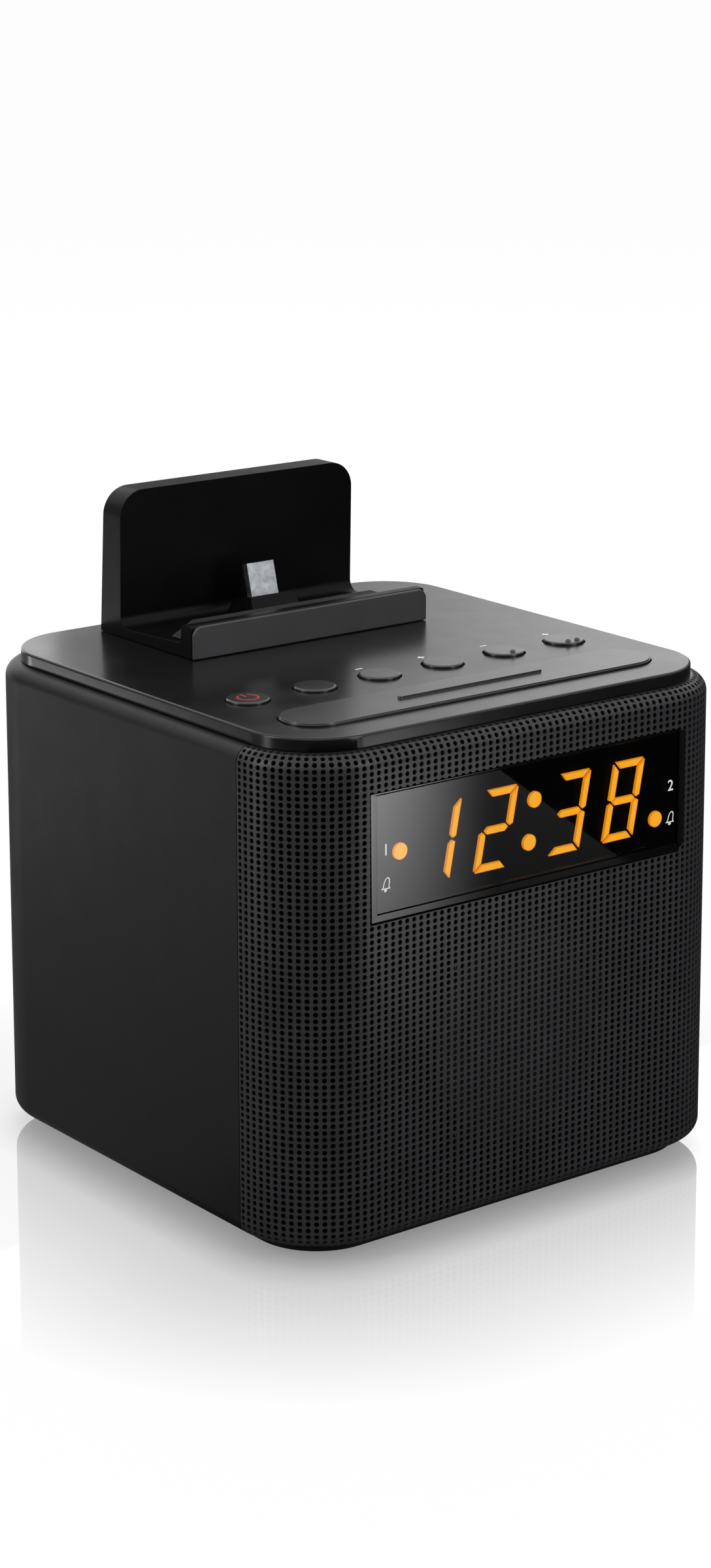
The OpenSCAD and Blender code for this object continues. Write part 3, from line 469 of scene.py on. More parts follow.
class RadioDisplay(bpy.types.PropertyGroup):
    bar_colour: bpy.props.FloatVectorProperty(
        name="Lit bar", description="Middle of a lit bar", subtype="COLOR", min=0, max=1,
        default=linear("#ffb128"))
    rim_colour: bpy.props.FloatVectorProperty(
        name="Rim of a bar", description="Border of a lit bar", subtype="COLOR", min=0,
        max=1, default=linear("#f29414"))
    rim: bpy.props.FloatProperty(
        name="Rim width", description="Width of a bar's deeper border", unit="LENGTH",
        default=0.11 * MM, min=0.05 * MM, max=0.4 * MM)
    glow: bpy.props.FloatProperty(
        name="Glow", description="Strength of the lit bars behind the window", default=16.5,
        min=0, max=40)


class RadioKeys(bpy.types.PropertyGroup):
    ring_colour: bpy.props.FloatVectorProperty(
        name="Power sign", description="Ink of the power key's sign", subtype="COLOR",
        min=0, max=1, default=linear("#a00f16"))
    ring_radius: bpy.props.FloatProperty(
        name="Ring", description="Radius of the power sign", unit="LENGTH",
        default=2.0 * MM, min=1 * MM, max=3 * MM)
    stroke: bpy.props.FloatProperty(
        name="Stroke", description="Width of the power sign's line", unit="LENGTH",
        default=0.45 * MM, min=0.2 * MM, max=0.8 * MM)
    sign_length: bpy.props.FloatProperty(
        name="Sign", description="Length of a plus or minus sign", unit="LENGTH",
        default=1.7 * MM, min=1 * MM, max=3 * MM)
    sign_line: bpy.props.FloatProperty(
        name="Sign line", description="Width of a plus or minus sign's line", unit="LENGTH",
        default=0.38 * MM, min=0.15 * MM, max=0.8 * MM)


class RadioMouldings(bpy.types.PropertyGroup):
    cradle_edge: bpy.props.FloatProperty(
        name="Cradle edge", description="Width of the cradle's broken edges", unit="LENGTH",
        default=0.3 * MM, min=0.05 * MM, max=0.6 * MM)
    plate_edge: bpy.props.FloatProperty(
        name="Plate edge", description="Width of the lip plate's broken edges", unit="LENGTH",
        default=0.25 * MM, min=0.05 * MM, max=0.4 * MM)
    key_edge: bpy.props.FloatProperty(
        name="Key edge", description="Width of the keys' broken edges", unit="LENGTH",
        default=0.12 * MM, min=0.05 * MM, max=0.3 * MM)


class RadioStage(bpy.types.PropertyGroup):
    floor_colour: bpy.props.FloatVectorProperty(
        name="Floor", description="Pale floor under the radio", subtype="COLOR", min=0,
        max=1, default=linear("#f2f2f2"))
    key_power: bpy.props.FloatProperty(
        name="Key lamp", description="Power of the soft lamp above and behind", subtype="POWER",
        default=6.0, min=0, max=100)
    left_power: bpy.props.FloatProperty(
        name="Left strip", description="Power of the upright lamp at the left", subtype="POWER",
        default=2.0, min=0, max=100)
    front_power: bpy.props.FloatProperty(
        name="Front strip", description="Power of the upright lamp at the front",
        subtype="POWER", default=1.5, min=0, max=100)
    card: bpy.props.FloatProperty(
        name="Window card", description="Strength of the small lamp that the window mirrors",
        default=4.5, min=0, max=20)
    back_card: bpy.props.FloatProperty(
        name="Back card", description="Strength of the card that the lid mirrors at its right",
        default=1.6, min=0, max=10)
    side_card: bpy.props.FloatProperty(
        name="Side card", description="Strength of the card that the left side mirrors",
        default=14.0, min=0, max=20)
    strips: bpy.props.FloatProperty(
        name="Strips", description="Strength of the two strips that the corner mirrors",
        default=2.0, min=0, max=10)
    room: bpy.props.FloatProperty(
        name="Room light", description="Strength of the even light from all round",
        default=0.8, min=0, max=2)
    low_room: bpy.props.FloatProperty(
        name="Low room", description="Brightness of the room near the horizon in reflections",
        default=0.2, min=0, max=1)
    dim: bpy.props.FloatProperty(
        name="Dim floor", description="Brightness of the front floor in reflections",
        default=0.02, min=0, max=1)
    mirrored: bpy.props.FloatProperty(
        name="Mirrored floor", description="Brightness of the back floor in reflections",
        default=0.2, min=0, max=1)
    shade: bpy.props.FloatProperty(
        name="Foot shade", description="Share of real shade at the radio's foot",
        default=0.6, min=0, max=1)
    gleam: bpy.props.FloatProperty(
        name="Gleam", description="Strength of the floor's mirror image at the radio's foot",
        default=0.42, min=0, max=1)
    near: bpy.props.FloatProperty(
        name="Shade reach", description="Where the shade has gone, from the corner's middle",
        unit="LENGTH", default=27 * MM, min=20 * MM, max=1)
    far: bpy.props.FloatProperty(
        name="Gleam reach", description="Where the mirror image has gone, from the same place",
        unit="LENGTH", default=75 * MM, min=20 * MM, max=2)


# ------------------------------------------------------------ operators

class RADIO_OT_finishes(bpy.types.Operator):
    """Gives every CAD node that stays in sight its real material"""
    bl_idname = "radio.finishes"
    bl_label = "Finish the mouldings and inner parts"

    def execute(self, context):
        s = context.scene.radio_finishes
        case = case_finish()
        lid = lid_finish(s)
        cradle = cradle_finish()
        steel = steel_finish()
        board = board_finish()
        # Moulded elastomer: dull and a little grey
        rubber = dull_finish("moulded_rubber", "#111111", "#1a1a1a", 0.78, 1.5, 0.02)
        # Socket bodies in glass-filled nylon: black and slightly satin
        nylon = dull_finish("glass_filled_nylon", "#101011", "#17171a", 0.5, 0.8, 0.01)
        paper = dull_finish("coated_paper_pulp", "#17171a", "#212124", 0.85, 0.7, 0.05)
        foam = dull_finish("closed_cell_foam", "#26262a", "#34343a", 0.95, 0.5, 0.08)
        ferrite = dull_finish("sintered_ferrite", "#2b2c30", "#3a3b3f", 0.6, 0.8, 0.03, 0.2)
        basket = dull_finish("painted_pressed_steel", "#1b1c1e", "#26272a", 0.45, 2.5, 0.02, 0.3)
        brass = dull_finish("rolled_brass", "#b98f3a", "#cfa64e", 0.3, 1.2, 0.01, 1.0)
        chosen = {
            case: ["cabinet", "base_plate", "battery_door"],
            lid: ["top_panel"],
            key_finish(s): KEYS,
            cradle: ["connector_boot", "socket_panel", "cradle"],
            plate_finish(s): ["cradle_front_plate"],
            cloth_finish(): ["front_baffle"],
            grille_finish(s): ["speaker_grille"],
            window_finish(): ["display_window"],
            bezel_finish(): ["display_bezel"],
            block_finish(): ["led_display"],
            board: ["display_board", "key_board", "dock_board", "main_board"],
            steel: ["tact_switches", "key_board_screws", "connector_plug", "cradle_screws",
                    "pole_piece", "speaker_screws", "board_screws", "usb_socket",
                    "base_screws", "battery_screw", "coin_cell"],
            rubber: ["cradle_pad", "speaker_surround", "aerial_gland", "rubber_feet"],
            nylon: ["dc_socket", "audio_socket"],
            paper: ["speaker_cone", "dust_cap"],
            foam: ["speaker_gasket"],
            ferrite: ["speaker_magnet"],
            basket: ["speaker_basket"],
            brass: ["battery_contacts"],
            parts_finish(): ["board_parts"],
            lamp_finish("led_epoxy", linear("#ffb020"), 6.0): ["led_segments"],
        }
        for material, nodes in chosen.items():
            for node in nodes:
                paint(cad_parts[node], material)
        unfinished = set(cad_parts) - {n for nodes in chosen.values() for n in nodes}
        if unfinished:
            raise RuntimeError(f"no finish for {sorted(unfinished)}")
        return {"FINISHED"}


def perforated_cell(hole, width, height):
    """One cell of the sheet: an eight-sided hole, ringed by faces out to the cell's border."""
    clear_selection()
    bpy.ops.mesh.primitive_circle_add(vertices=8, radius=hole / 2)
    cell = named("cell")
    edit(cell)
    bpy.ops.mesh.select_all(action="SELECT")
    bpy.ops.mesh.extrude_edges_move()
    mesh = bmesh.from_edit_mesh(cell.data)
    for vertex in mesh.verts:
        if vertex.select:
            x, y = vertex.co.x / (hole / 2), vertex.co.y / (hole / 2)
            vertex.co.x = width / 2 * ((x > 0.1) - (x < -0.1))
            vertex.co.y = height / 2 * ((y > 0.1) - (y < -0.1))
    bmesh.update_edit_mesh(cell.data)
    return close(cell)


def perforated_sheet(name, g, columns, width, height):
    """A flat sheet of columns by rows of holes, its middle at the origin."""
    pitch_x, pitch_y = width / columns, height / g.rows
    sheet = perforated_cell(g.hole, pitch_x, pitch_y)
    sheet.location = (-(columns - 1) * pitch_x / 2, -(g.rows - 1) * pitch_y / 2, 0)
    settle(sheet)
    for count, step in ((columns, (pitch_x, 0, 0)), (g.rows, (0, pitch_y, 0))):
        modify(sheet, "ARRAY", count=count, use_relative_offset=False,
               use_constant_offset=True, constant_offset_displace=step,
               use_merge_vertices=True, merge_threshold=0.01 * MM)
    sheet.name = sheet.data.name = name
    return sheet


def cut_line(sheet, point, normal):
    """Scores the whole sheet along one straight line."""
    edit(sheet)
    bpy.ops.mesh.select_all(action="SELECT")
    bpy.ops.mesh.bisect(plane_co=point, plane_no=normal)
    close(sheet)


def turn_in(sheet, half, depth):
    """Adds the plain ledges beyond the rows at the top and the bottom."""
    for side in (-1, 1):
        edit(sheet)
        pick(sheet, "edges", lambda e: e.is_boundary and
             all(abs(v.co.y - side * half) < 0.01 * MM for v in e.verts))
        bpy.ops.mesh.extrude_edges_move()
        bpy.ops.transform.translate(value=(0, side * depth, 0))
        close(sheet)


def outward_sheet(sheet):
    """Turns an open sheet's faces away from the middle of the body."""
    edit(sheet)
    bpy.ops.mesh.select_all(action="SELECT")
    bpy.ops.mesh.normals_make_consistent(inside=False)
    mesh = bmesh.from_edit_mesh(sheet.data)
    centre = Vector((0, 0, (GRILLE_LOW.z + GRILLE_HIGH.z) / 2))
    if sum(f.normal.dot(f.calc_center_median() - centre) for f in mesh.faces) < 0:
        bpy.ops.mesh.flip_normals()
    close(sheet)


class RADIO_OT_grille(bpy.types.Operator):
    """Makes the perforated sheet with all its holes, wrapped round the front's two corners"""
    bl_idname = "radio.grille"
    bl_label = "Make the grille"

    # The bezel's box takes in its flange, which reaches past the opening in the sheet
    flange_side, flange_up, gap = 2 * MM, 1.5 * MM, 0.2 * MM

    def execute(self, context):
        g = context.scene.radio_grille
        flat = GRILLE_HIGH.x - CORNER                     # half of the flat front
        tall = (GRILLE_HIGH.z - GRILLE_LOW.z) / 2 - EDGE  # half of the upright part
        middle = (GRILLE_HIGH.z + GRILLE_LOW.z) / 2
        turn = EDGE * math.pi / 2                         # developed length of an edge
        arc = CORNER * math.pi / 2                        # and of a corner
        half = tall + turn                                # half of the developed height
        left = BEZEL_LOW.x + self.flange_side - self.gap
        right = BEZEL_HIGH.x - self.flange_side + self.gap
        low = BEZEL_LOW.z + self.flange_up - self.gap - middle
        high = BEZEL_HIGH.z - self.flange_up + self.gap - middle

        def wrap(u, v):
            """Place on the body of a point of the flat sheet."""
            over = max(abs(v) - tall, 0)
            bend = min(over, turn) / EDGE
            inward = EDGE * (1 - math.cos(bend)) + max(over - turn, 0)
            z = math.copysign(min(abs(v), tall) + EDGE * math.sin(bend), v)
            round_by = max(abs(u) - flat, 0) / CORNER
            reach = CORNER - inward
            x = math.copysign(min(abs(u), flat) + reach * math.sin(round_by), u)
            return Vector((x, GRILLE_LOW.y + CORNER - reach * math.cos(round_by), middle + z))

        sheets = []
        for name, columns, width, shift in (
                ("grille_front", g.columns, 2 * flat, 0),
                ("grille_left", g.corner_columns, arc, -(flat + arc / 2)),
                ("grille_right", g.corner_columns, arc, flat + arc / 2)):
            sheet = perforated_sheet(name, g, columns, width, 2 * half)
            sheet.location.x = shift
            settle(sheet)
            for line in (low, high):
                cut_line(sheet, (0, line, 0), (0, 1, 0))
            if shift:
                cut_line(sheet, (left if shift < 0 else right, 0, 0), (1, 0, 0))
            edit(sheet)
            pick(sheet, "faces", lambda f: low < f.calc_center_median().y < high and
                 left < f.calc_center_median().x < right)
            bpy.ops.mesh.delete(type="FACE")
            close(sheet)
            turn_in(sheet, half, LEDGE)
            for vertex in sheet.data.vertices:
                vertex.co = wrap(vertex.co.x, vertex.co.y)
            outward_sheet(sheet)
            modify(sheet, "SOLIDIFY", thickness=g.thickness, offset=-1, use_rim=True,
                   use_even_offset=False)
            sheets.append(smooth(sheet, 40))
        front = sheets[0]
        corners = join("grille_corners", sheets[1:])
        for piece in (front, corners):
            paint(piece, bpy.data.materials["powder_coated_steel"])
            if len(piece.data.polygons) * 2 > MOST_TRIANGLES:
                raise RuntimeError(f"{piece.name} has too many faces")
        hand_over(front, BODY, "grille_metal", "speaker_grille")
        hand_over(corners, BODY, "grille_metal")
        return {"FINISHED"}


def lit_bars(d):
    """The lit bars, each with a deeper border round its front face."""
    bars = copy_of("led_segments", "lit_bars")
    edit(bars)
    pick(bars, "faces", lambda f: f.normal.y < -0.9)
    bpy.ops.mesh.inset(thickness=d.rim, use_individual=True)
    close(bars)
    paint(bars, lamp_finish("led_epoxy_rim", d.rim_colour, d.glow * 0.8),
          lamp_finish("led_epoxy_core", d.bar_colour, d.glow))
    edit(bars)
    mesh = bmesh.from_edit_mesh(bars.data)
    for face in mesh.faces:
        at_side = any(abs(n.normal.y) < 0.5 for e in face.edges for n in e.link_faces)
        face.material_index = 1 if face.normal.y < -0.9 and not at_side else 0
    bmesh.update_edit_mesh(bars.data)
    close(bars)
    hand_over(bars, BODY, "amber_light", "led_segments")


def stretch(piece, places):
    """Moves the vertices of a copy to where places says they belong."""
    edit(piece)
    mesh = bmesh.from_edit_mesh(piece.data)
    for vertex in mesh.verts:
        vertex.co = places(vertex.co)
    bmesh.update_edit_mesh(piece.data)
    smooth(close(piece), 20)


def glass_and_rim():
    """The glass, which reaches almost to the opening's right and top, over a level rim."""
    near = 0.1 * MM
    right, top = BEZEL_HIGH.x - 0.6 * MM, WINDOW_HIGH.z + 1.1 * MM
    rim_low, rim_high = BEZEL_LOW.y, BEZEL_LOW.y + 0.05 * MM

    def widened(place):
        x = right if place.x > WINDOW_HIGH.x - near else place.x
        z = top if place.z > WINDOW_HIGH.z - near else place.z
        return Vector((x, place.y, z))

    def levelled(place):
        if not BEZEL_LOW.y + near < place.y < WINDOW_LOW.y + near:
            return place
        y = rim_low if place.z < WINDOW_LOW.z + near else rim_high
        return widened(Vector((place.x, y, place.z)))

    # The sides of both are masked, so that the lit bars aren't mirrored in them
    for node, name, places, finish in (
            ("display_window", "window_glass", widened, "smoked_acrylic"),
            ("display_bezel", "bezel_rim", levelled, "polished_polycarbonate")):
        piece = copy_of(node, name)
        stretch(piece, places)
        paint(piece, bpy.data.materials[finish], bpy.data.materials["matt_black_polyester"])
        for face in piece.data.polygons:
            face.material_index = 1 if abs(face.normal.y) < 0.5 else 0
        hand_over(piece, BODY, "window_plastic", node)


def numeral(sign, x, y, z, size):
    """A printed numeral, upright on the window."""
    clear_selection()
    bpy.ops.object.text_add(location=(x, y, z), rotation=(math.pi / 2, 0, 0))
    text = bpy.context.object
    text.data.body = sign
    text.data.size = size
    text.data.offset = 0.02 * MM
    text.data.align_x = "CENTER"
    text.data.extrude = INK / 2
    bpy.ops.object.convert(target="MESH")
    return settle(named("numeral_" + sign))


def window_signs():
    """A plain numeral and a bell for each of the two alarms."""
    y, numeral_z, bell_z = WINDOW_LOW.y - INK_LIFT, 77.6 * MM, 72.3 * MM
    signs = []
    for sign, x in (("1", -34.3 * MM), ("2", 36 * MM)):
        signs.append(numeral(sign, x, y, numeral_z, 3.1 * MM))
        signs.append(bell(x + 0.2 * MM, y, bell_z))
    legend = join("window_signs", signs)
    edit(legend)
    bpy.ops.mesh.select_all(action="SELECT")
    bpy.ops.mesh.remove_doubles(threshold=0.001 * MM)
    bpy.ops.mesh.normals_make_consistent(inside=False)
    close(legend)
    # The white ink on the window glows a little: painted light
    paint(legend, ink_with_painted_glow("screen_ink_white", linear("#c4c4c4"), 0.3))
    hand_over(legend, BODY, "window_plastic")


def bell(x, y, z):
    """A small alarm bell in outline, leaning a little, with its clapper."""
    lean = math.tan(math.radians(12))
    profile = [(-1.1, -1.15), (-0.75, -0.7), (-0.7, 0.1), (-0.55, 0.7), (-0.2, 1.05),
               (0.2, 1.05), (0.55, 0.7), (0.7, 0.1), (0.75, -0.7), (1.1, -1.15)]
    clear_selection()
    bpy.ops.mesh.primitive_circle_add(vertices=len(profile), radius=MM, fill_type="NGON")
    outline = named("bell")
    for vertex, (px, pz) in zip(outline.data.vertices, profile):
        vertex.co = (px * MM, pz * MM, 0)
    edit(outline)
    bpy.ops.mesh.select_all(action="SELECT")
    bpy.ops.mesh.inset(thickness=0.2 * MM, use_individual=True)
    bpy.ops.mesh.delete(type="FACE")
    close(outline)
    clear_selection()
    bpy.ops.mesh.primitive_circle_add(vertices=12, radius=0.34 * MM, fill_type="NGON",
                                      location=(0, -1.35 * MM, 0))
    clapper = named("clapper")
    sign = join("bell", [outline, clapper])
    modify(sign, "SOLIDIFY", thickness=INK, offset=0)
    for vertex in sign.data.vertices:
        px, pz, py = vertex.co
        vertex.co = (x + px + pz * lean, y + py, z + pz)
    return settle(sign)


class RADIO_OT_display(bpy.types.Operator):
    """Makes the lit bars, the window with its rim, and the signs printed on the window"""
    bl_idname = "radio.display"
    bl_label = "Make the display"

    def execute(self, context):
        lit_bars(context.scene.radio_display)
        glass_and_rim()
        window_signs()
        return {"FINISHED"}


def flat_bar(length, width, x, y, z):
    """A printed line, flat on a level face."""
    clear_selection()
    bpy.ops.mesh.primitive_plane_add(size=1, location=(x, y, z))
    line = named("line")
    line.scale = (length, width, 1)
    return settle(line)


def power_sign(k):
    """A ring, open at the back, with a bar in its opening."""
    low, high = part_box("power_button")
    x, y, z = (low.x + high.x) / 2, (low.y + high.y) / 2, high.z + INK_LIFT
    half_gap = 0.95 * MM
    clear_selection()
    bpy.ops.mesh.primitive_circle_add(vertices=48, radius=k.ring_radius + k.stroke / 2,
                                      fill_type="NGON", location=(x, y, z))
    ring = settle(named("ring"))
    edit(ring)
    bpy.ops.mesh.select_all(action="SELECT")
    bpy.ops.mesh.inset(thickness=k.stroke, use_individual=True)
    bpy.ops.mesh.delete(type="FACE")
    pick(ring, "faces", lambda f: f.calc_center_median().y > y and
         abs(f.calc_center_median().x - x) < half_gap)
    bpy.ops.mesh.delete(type="FACE")
    close(ring)
    bar = flat_bar(k.stroke, k.ring_radius * 0.95, x, y + k.ring_radius * 0.8, z)
    return join("power_sign", [ring, bar])


def plus_and_minus_signs(k):
    """The signs on the lid, behind and left of the four keys that step up or down."""
    behind = -12 * MM
    lines = []
    for x, plus in ((-7.7, False), (7.8, True), (23.8, False), (40.2, True)):
        lines.append(flat_bar(k.sign_length, k.sign_line, x * MM, behind, LID_TOP + INK_LIFT))
        if plus:
            # the second stroke lies a hair higher, so that no two faces share a plane
            lines.append(flat_bar(k.sign_line, k.sign_length, x * MM, behind,
                                  LID_TOP + INK_LIFT + 0.002 * MM))
    return join("lid_signs", lines)


class RADIO_OT_signs(bpy.types.Operator):
    """Prints the power sign on its key, and the plus and minus signs on the lid"""
    bl_idname = "radio.signs"
    bl_label = "Print the key signs"

    def execute(self, context):
        k = context.scene.radio_keys
        # Both inks glow a little: painted light on the signs
        red = ink_with_painted_glow("pad_print_red", k.ring_colour, 0.06)
        white = ink_with_painted_glow("pad_print_white", linear("#dcdcdc"), 0.1)
        for sign, ink, body in ((power_sign(k), red, "power_button"),
                                (plus_and_minus_signs(k), white, BODY)):
            modify(sign, "SOLIDIFY", thickness=INK, offset=0)
            outward(sign)
            paint(sign, ink)
            hand_over(sign, body, "lid_plastic")
        return {"FINISHED"}


class RADIO_OT_mouldings(bpy.types.Operator):
    """Makes the outer mouldings whole and smooth, and breaks the sharp edges of some"""
    bl_idname = "radio.mouldings"
    bl_label = "Smooth the mouldings"

    def execute(self, context):
        m = context.scene.radio_mouldings
        rows = [("cabinet", "case_moulding", "moulded_abs_black", 0, "case_plastic", BODY),
                ("top_panel", "lid_moulding", "matt_lacquered_abs", 0, "lid_plastic", BODY),
                ("cradle", "cradle_moulding", "moulded_abs_charcoal", m.cradle_edge,
                 "case_plastic", BODY),
                ("cradle_front_plate", "lip_plate", "anodised_aluminium_grey", m.plate_edge,
                 "trim_plastic", BODY)]
        rows += [(key, key + "_cap", "satin_lacquered_abs", m.key_edge, "lid_plastic", key)
                 for key in KEYS]
        for node, name, material, edge, slot, body in rows:
            piece = copy_of(node, name)
            if edge:
                modify(piece, "BEVEL", width=edge, segments=2, limit_method="ANGLE",
                       angle_limit=math.radians(40), use_clamp_overlap=True,
                       miter_outer="MITER_ARC")
            smooth(piece)
            modify(piece, "WEIGHTED_NORMAL", keep_sharp=True)
            paint(piece, bpy.data.materials[material])
            hand_over(piece, body, slot, node)
        return {"FINISHED"}


def floor_finish(s):
    # Glossy white card: shaded and faintly mirroring close to the radio, plain white beyond
    material, tree, shader, where = new_material(
        "glossy_white_card", Roughness=0.9, Specular_IOR_Level=0.0, Base_Color=s.floor_colour)
    # How far a point lies outside the square through the middles of the corner roundings
    side = add(tree, "VectorMath", {"operation": "MULTIPLY", 1: (1, 1, 0)},
               {0: (where, "Object")})
    half = add(tree, "VectorMath", {"operation": "ABSOLUTE"}, {0: (side, 0)})
    square = CAD_BOX[1][0] - CORNER
    past = add(tree, "VectorMath", {"operation": "SUBTRACT", 1: (square, square, 0)},
               {0: (half, 0)})
    outside = add(tree, "VectorMath", {"operation": "MAXIMUM", 1: (0, 0, 0)}, {0: (past, 0)})
    gap = add(tree, "VectorMath", {"operation": "LENGTH"}, {0: (outside, 0)})
    shade = add(tree, "MapRange", {"From Min": CORNER, "From Max": s.near, "To Min": s.shade,
                                   "To Max": 0.06}, {"Value": (gap, "Value")})
    gleam = add(tree, "MapRange", {"From Min": CORNER, "From Max": s.far, "To Min": s.gleam,
                                   "To Max": 0.0}, {"Value": (gap, "Value")})
    glow = add(tree, "Emission")
    paper = add(tree, "MixShader", links={0: (shade, "Result"), 1: (glow, "Emission"),
                                          2: (shader, "BSDF")})
    polish = add(tree, "BsdfGlossy", {"Roughness": 0.03})
    card = add(tree, "MixShader", links={0: (gleam, "Result"), 1: (paper, 0),
                                         2: (polish, "BSDF")})
    # What the radio mirrors of it: dim at the front, where the camera stands
    way = add(tree, "VectorMath", {"operation": "NORMALIZE"}, {0: (side, 0)})
    behind = add(tree, "VectorMath", {"operation": "DOT_PRODUCT", 1: (-0.35, 0.94, 0)},
                 {0: (way, 0)})
    level = add(tree, "MapRange", {"interpolation_type": "SMOOTHSTEP", "From Min": -0.3,
                                   "From Max": 0.9, "To Min": s.dim, "To Max": s.mirrored},
                {"Value": (behind, "Value")})
    faint = add(tree, "Emission", links={"Strength": (level, "Result")})
    path = add(tree, "LightPath")
    shiny = add(tree, "Math", {"operation": "MAXIMUM"},
                {0: (path, "Is Glossy Ray"), 1: (path, "Is Transmission Ray")})
    unseen = add(tree, "MixShader", links={0: (shiny, 0), 1: (shader, "BSDF"),
                                           2: (faint, "Emission")})
    both = add(tree, "MixShader", links={0: (path, "Is Camera Ray"), 1: (unseen, 0),
                                         2: (card, 0)})
    surface(tree, both, 0)
    return material


def softbox_finish(name):
    """A bare emission shader in place of the Principled one, with its split coordinates."""
    material, tree, shader, where = new_material(name)
    tree.nodes.remove(shader)
    axes = add(tree, "SeparateXYZ", links={"Vector": (where, "Object")})
    glow = add(tree, "Emission")
    surface(tree, glow, "Emission")
    return material, tree, glow, axes


def hide_but_gloss(card):
    """Keeps a lamp card out of sight and out of the light, except in reflections."""
    card.visible_camera = card.visible_diffuse = card.visible_shadow = False
    card.visible_transmission = False


def gloss_card(name, centre, size, facing, low, high):
    """An upright lamp card seen only in reflections, its strength rising from low to high."""
    clear_selection()
    turn = math.atan2(facing[1], facing[0]) + math.pi / 2
    bpy.ops.mesh.primitive_plane_add(size=1, location=[c * MM for c in centre],
                                     rotation=(math.pi / 2, 0, turn))
    card = named(name)
    card.scale = (size[0] * MM, size[1] * MM, 1)
    # Softbox cloth, brighter towards one end
    material, tree, glow, axes = softbox_finish("graded_softbox_" + name)
    grade = add(tree, "MapRange", {"interpolation_type": "SMOOTHSTEP", "From Min": -0.5,
                                   "From Max": 0.5, "To Min": low, "To Max": high},
                {"Value": (axes, "X")})
    tree.links.new(grade.outputs["Result"], glow.inputs["Strength"])
    paint(card, material)
    hide_but_gloss(card)


def window_card(s):
    """The softbox that the window mirrors: its slanting side is the line across the glass."""
    low_left, low_right = (15.6, -170.2, 13), (137.4, -158.7, 8.5)
    top_left, top_right = (48.5, -169.2, 55.8), (56.2, -169.1, 72.1)
    clear_selection()
    bpy.ops.mesh.primitive_plane_add(size=1)
    card = named("window_card")
    for vertex, place in zip(card.data.vertices, (low_left, low_right, top_left, top_right)):
        vertex.co = Vector(place) * MM
    # Softbox cloth, brightest at its upper left
    material, tree, glow, axes = softbox_finish("fading_softbox")
    across = add(tree, "MapRange", {"interpolation_type": "SMOOTHSTEP", "From Min": 45 * MM,
                                    "From Max": 85 * MM, "To Min": 1.2, "To Max": 0.07},
                 {"Value": (axes, "X")})
    up = add(tree, "MapRange", {"From Min": 12 * MM, "From Max": 50 * MM, "To Min": 0.35,
                                "To Max": 1.0}, {"Value": (axes, "Z")})
    both = add(tree, "Math", {"operation": "MULTIPLY"}, {0: (across, "Result"),
                                                         1: (up, "Result")})
    power = add(tree, "Math", {"operation": "MULTIPLY", 1: s.card}, {0: (both, 0)})
    tree.links.new(power.outputs[0], glow.inputs["Strength"])
    paint(card, material)
    hide_but_gloss(card)


def soft_lamp(name, power, width, height, place, aim):
    """A rectangular lamp, out of the camera's sight, turned to the point it lights."""
    clear_selection()
    bpy.ops.object.light_add(type="AREA", location=place)
    lamp = named(name)
    lamp.data.shape = "RECTANGLE"
    lamp.data.size, lamp.data.size_y = width, height
    lamp.data.energy = power
    lamp.rotation_euler = (Vector(aim) - Vector(place)).to_track_quat("-Z", "Y").to_euler()
    lamp.visible_camera = False
    return lamp


def white_studio(s):
    """An even white room, in reflections dim low down, where only the cards are bright."""
    world = bpy.data.worlds.new("white_studio")
    world.use_nodes = True
    tree = world.node_tree
    tree.nodes.clear()
    path = add(tree, "LightPath")
    around = add(tree, "TexCoord")
    axes = add(tree, "SeparateXYZ", links={"Vector": (around, "Generated")})
    shade = add(tree, "MapRange", {"interpolation_type": "SMOOTHSTEP", "From Min": 0.27,
                                   "From Max": 0.37, "To Min": s.low_room, "To Max": 1.0},
                {"Value": (axes, "Z")})
    shiny = add(tree, "Math", {"operation": "MAXIMUM"},
                {0: (path, "Is Glossy Ray"), 1: (path, "Is Transmission Ray")})
    lit = add(tree, "Mix", {2: s.room}, {0: (shiny, 0), 3: (shade, "Result")})
    level = add(tree, "Mix", {3: 1.0}, {0: (path, "Is Camera Ray"), 2: (lit, 0)})
    white = add(tree, "Background", {"Color": (1, 1, 1)}, {"Strength": (level, 0)})
    add(tree, "OutputWorld", links={"Surface": (white, "Background")})
    return world


def photo_camera():
    """The camera that was fitted to the straight edges and the grille of the photograph."""
    clear_selection()
    bpy.ops.object.camera_add(
        location=(-401.5 * MM, -524.4 * MM, 259 * MM),
        rotation=(math.radians(90 - 12.04), 0, math.radians(-37.98)))
    camera = named("photo_camera")
    image_height, focal_pixels = 2400, 5213.6
    camera.data.sensor_fit = "VERTICAL"
    camera.data.sensor_height = 36
    camera.data.lens = focal_pixels / image_height * camera.data.sensor_height
    camera.data.shift_x, camera.data.shift_y = -0.0182, -0.140
    camera.data.clip_start = 10 * MM
    return camera


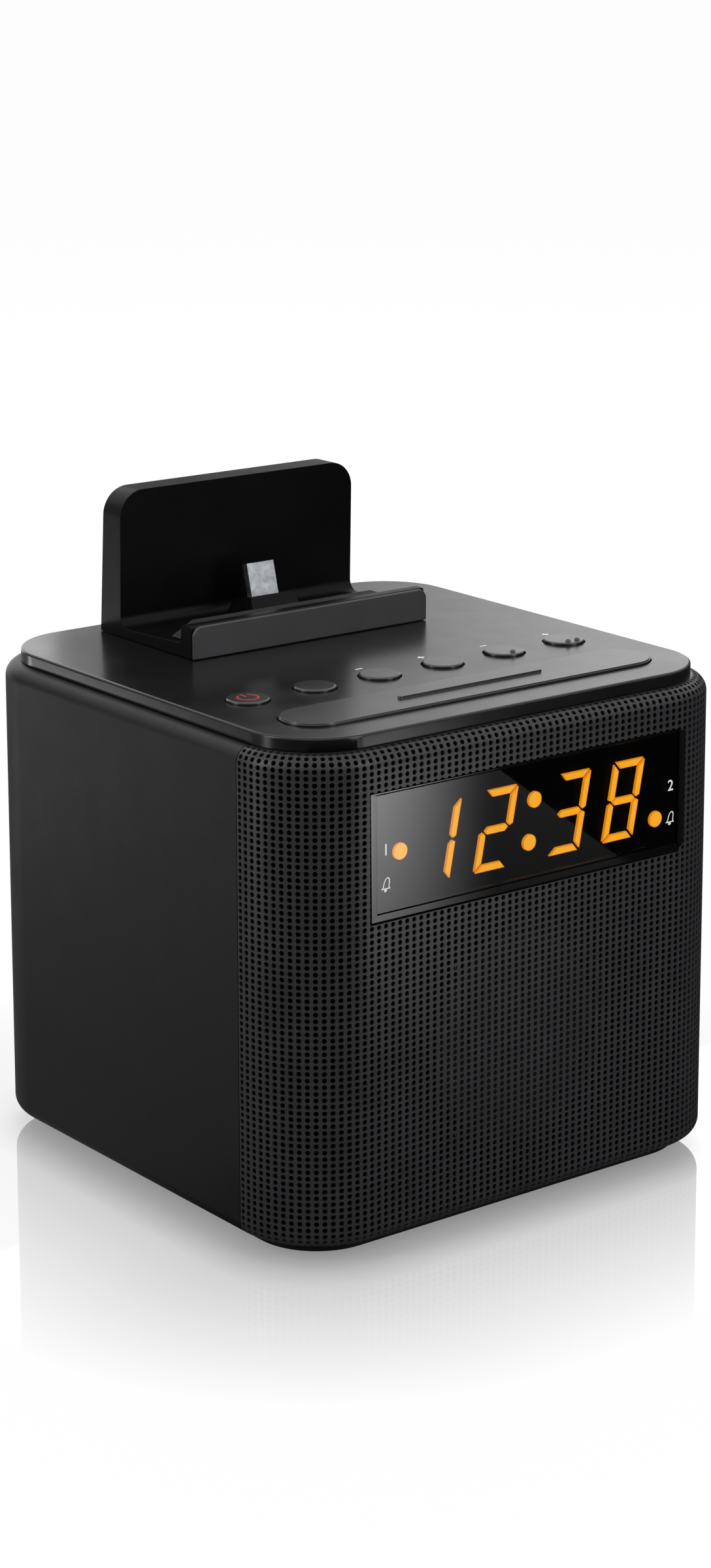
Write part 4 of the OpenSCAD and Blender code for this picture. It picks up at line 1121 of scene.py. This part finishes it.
class RADIO_OT_stage(bpy.types.Operator):
    """Sets the pale floor, the soft lamps, the even room and the camera"""
    bl_idname = "radio.stage"
    bl_label = "Set the stage"

    def execute(self, context):
        s = context.scene.radio_stage
        clear_selection()
        bpy.ops.mesh.primitive_plane_add(size=12)
        floor = named("floor")
        paint(floor, floor_finish(s))

        # Cards in millimetres: the lid mirrors the first two, the corner the strips
        window_card(s)
        for name, centre, size, facing, low, high in (
                ("back", (145, 150, 160), (240, 160), (0, -1), 0.3, s.back_card),
                ("corner", (-10, 150, 160), (100, 160), (0, -1), 1.6, 1.6),
                ("front", (50, -285, 70), (50, 160), (-0.4, 0.92), s.strips, s.strips),
                ("left", (-282, 48, 70), (50, 160), (0.92, -0.4), s.strips, s.strips),
                ("side", (-200, 290, 8), (240, 26), (1, 0), 0, s.side_card)):
            gloss_card(name, centre, size, facing, low, high)

        # Lamps in metres
        key = soft_lamp("key_lamp", s.key_power, 0.8, 0.8, (0.5, 0.65, 0.9), (0, 0, 0.08))
        key.visible_glossy = False
        soft_lamp("left_strip", s.left_power, 0.25, 0.7, (-0.87, 0.2, 0.4), (0, 0, 0.05))
        soft_lamp("front_strip", s.front_power, 0.25, 0.6, (0.33, -0.84, 0.4), (0, 0, 0.05))

        context.scene.world = white_studio(s)
        context.scene.camera = photo_camera()
        context.scene.view_settings.view_transform = "Standard"
        return {"FINISHED"}


class RADIO_PT_sidebar(bpy.types.Panel):
    """Lists the steps that dress the clock radio, and their settings"""
    bl_idname = "RADIO_PT_sidebar"
    bl_label = "Clock radio"
    bl_space_type = "VIEW_3D"
    bl_region_type = "UI"
    bl_category = "Clock radio"

    def draw(self, context):
        for group, step in STEPS:
            box = self.layout.box()
            held = getattr(context.scene, group)
            for name in held.__annotations__:
                box.prop(held, name)
            box.operator(step.bl_idname)


GROUPS = {
    "radio_finishes": RadioFinishes,
    "radio_grille": RadioGrille,
    "radio_display": RadioDisplay,
    "radio_keys": RadioKeys,
    "radio_mouldings": RadioMouldings,
    "radio_stage": RadioStage,
}
STEPS = [
    ("radio_stage", RADIO_OT_stage),
    ("radio_finishes", RADIO_OT_finishes),
    ("radio_grille", RADIO_OT_grille),
    ("radio_display", RADIO_OT_display),
    ("radio_keys", RADIO_OT_signs),
    ("radio_mouldings", RADIO_OT_mouldings),
]


def register():
    for kind in (*GROUPS.values(), *(step for _, step in STEPS), RADIO_PT_sidebar):
        bpy.utils.register_class(kind)
    for name, kind in GROUPS.items():
        setattr(bpy.types.Scene, name, bpy.props.PointerProperty(type=kind))


def unregister():
    for name in GROUPS:
        delattr(bpy.types.Scene, name)
    for kind in (RADIO_PT_sidebar, *(step for _, step in reversed(STEPS)), *GROUPS.values()):
        bpy.utils.unregister_class(kind)


def main():
    register()
    bpy.ops.radio.stage()
    bpy.ops.radio.finishes()
    bpy.ops.radio.grille()
    bpy.ops.radio.display()
    bpy.ops.radio.signs()
    bpy.ops.radio.mouldings()


if __name__ == "__main__":
    main()
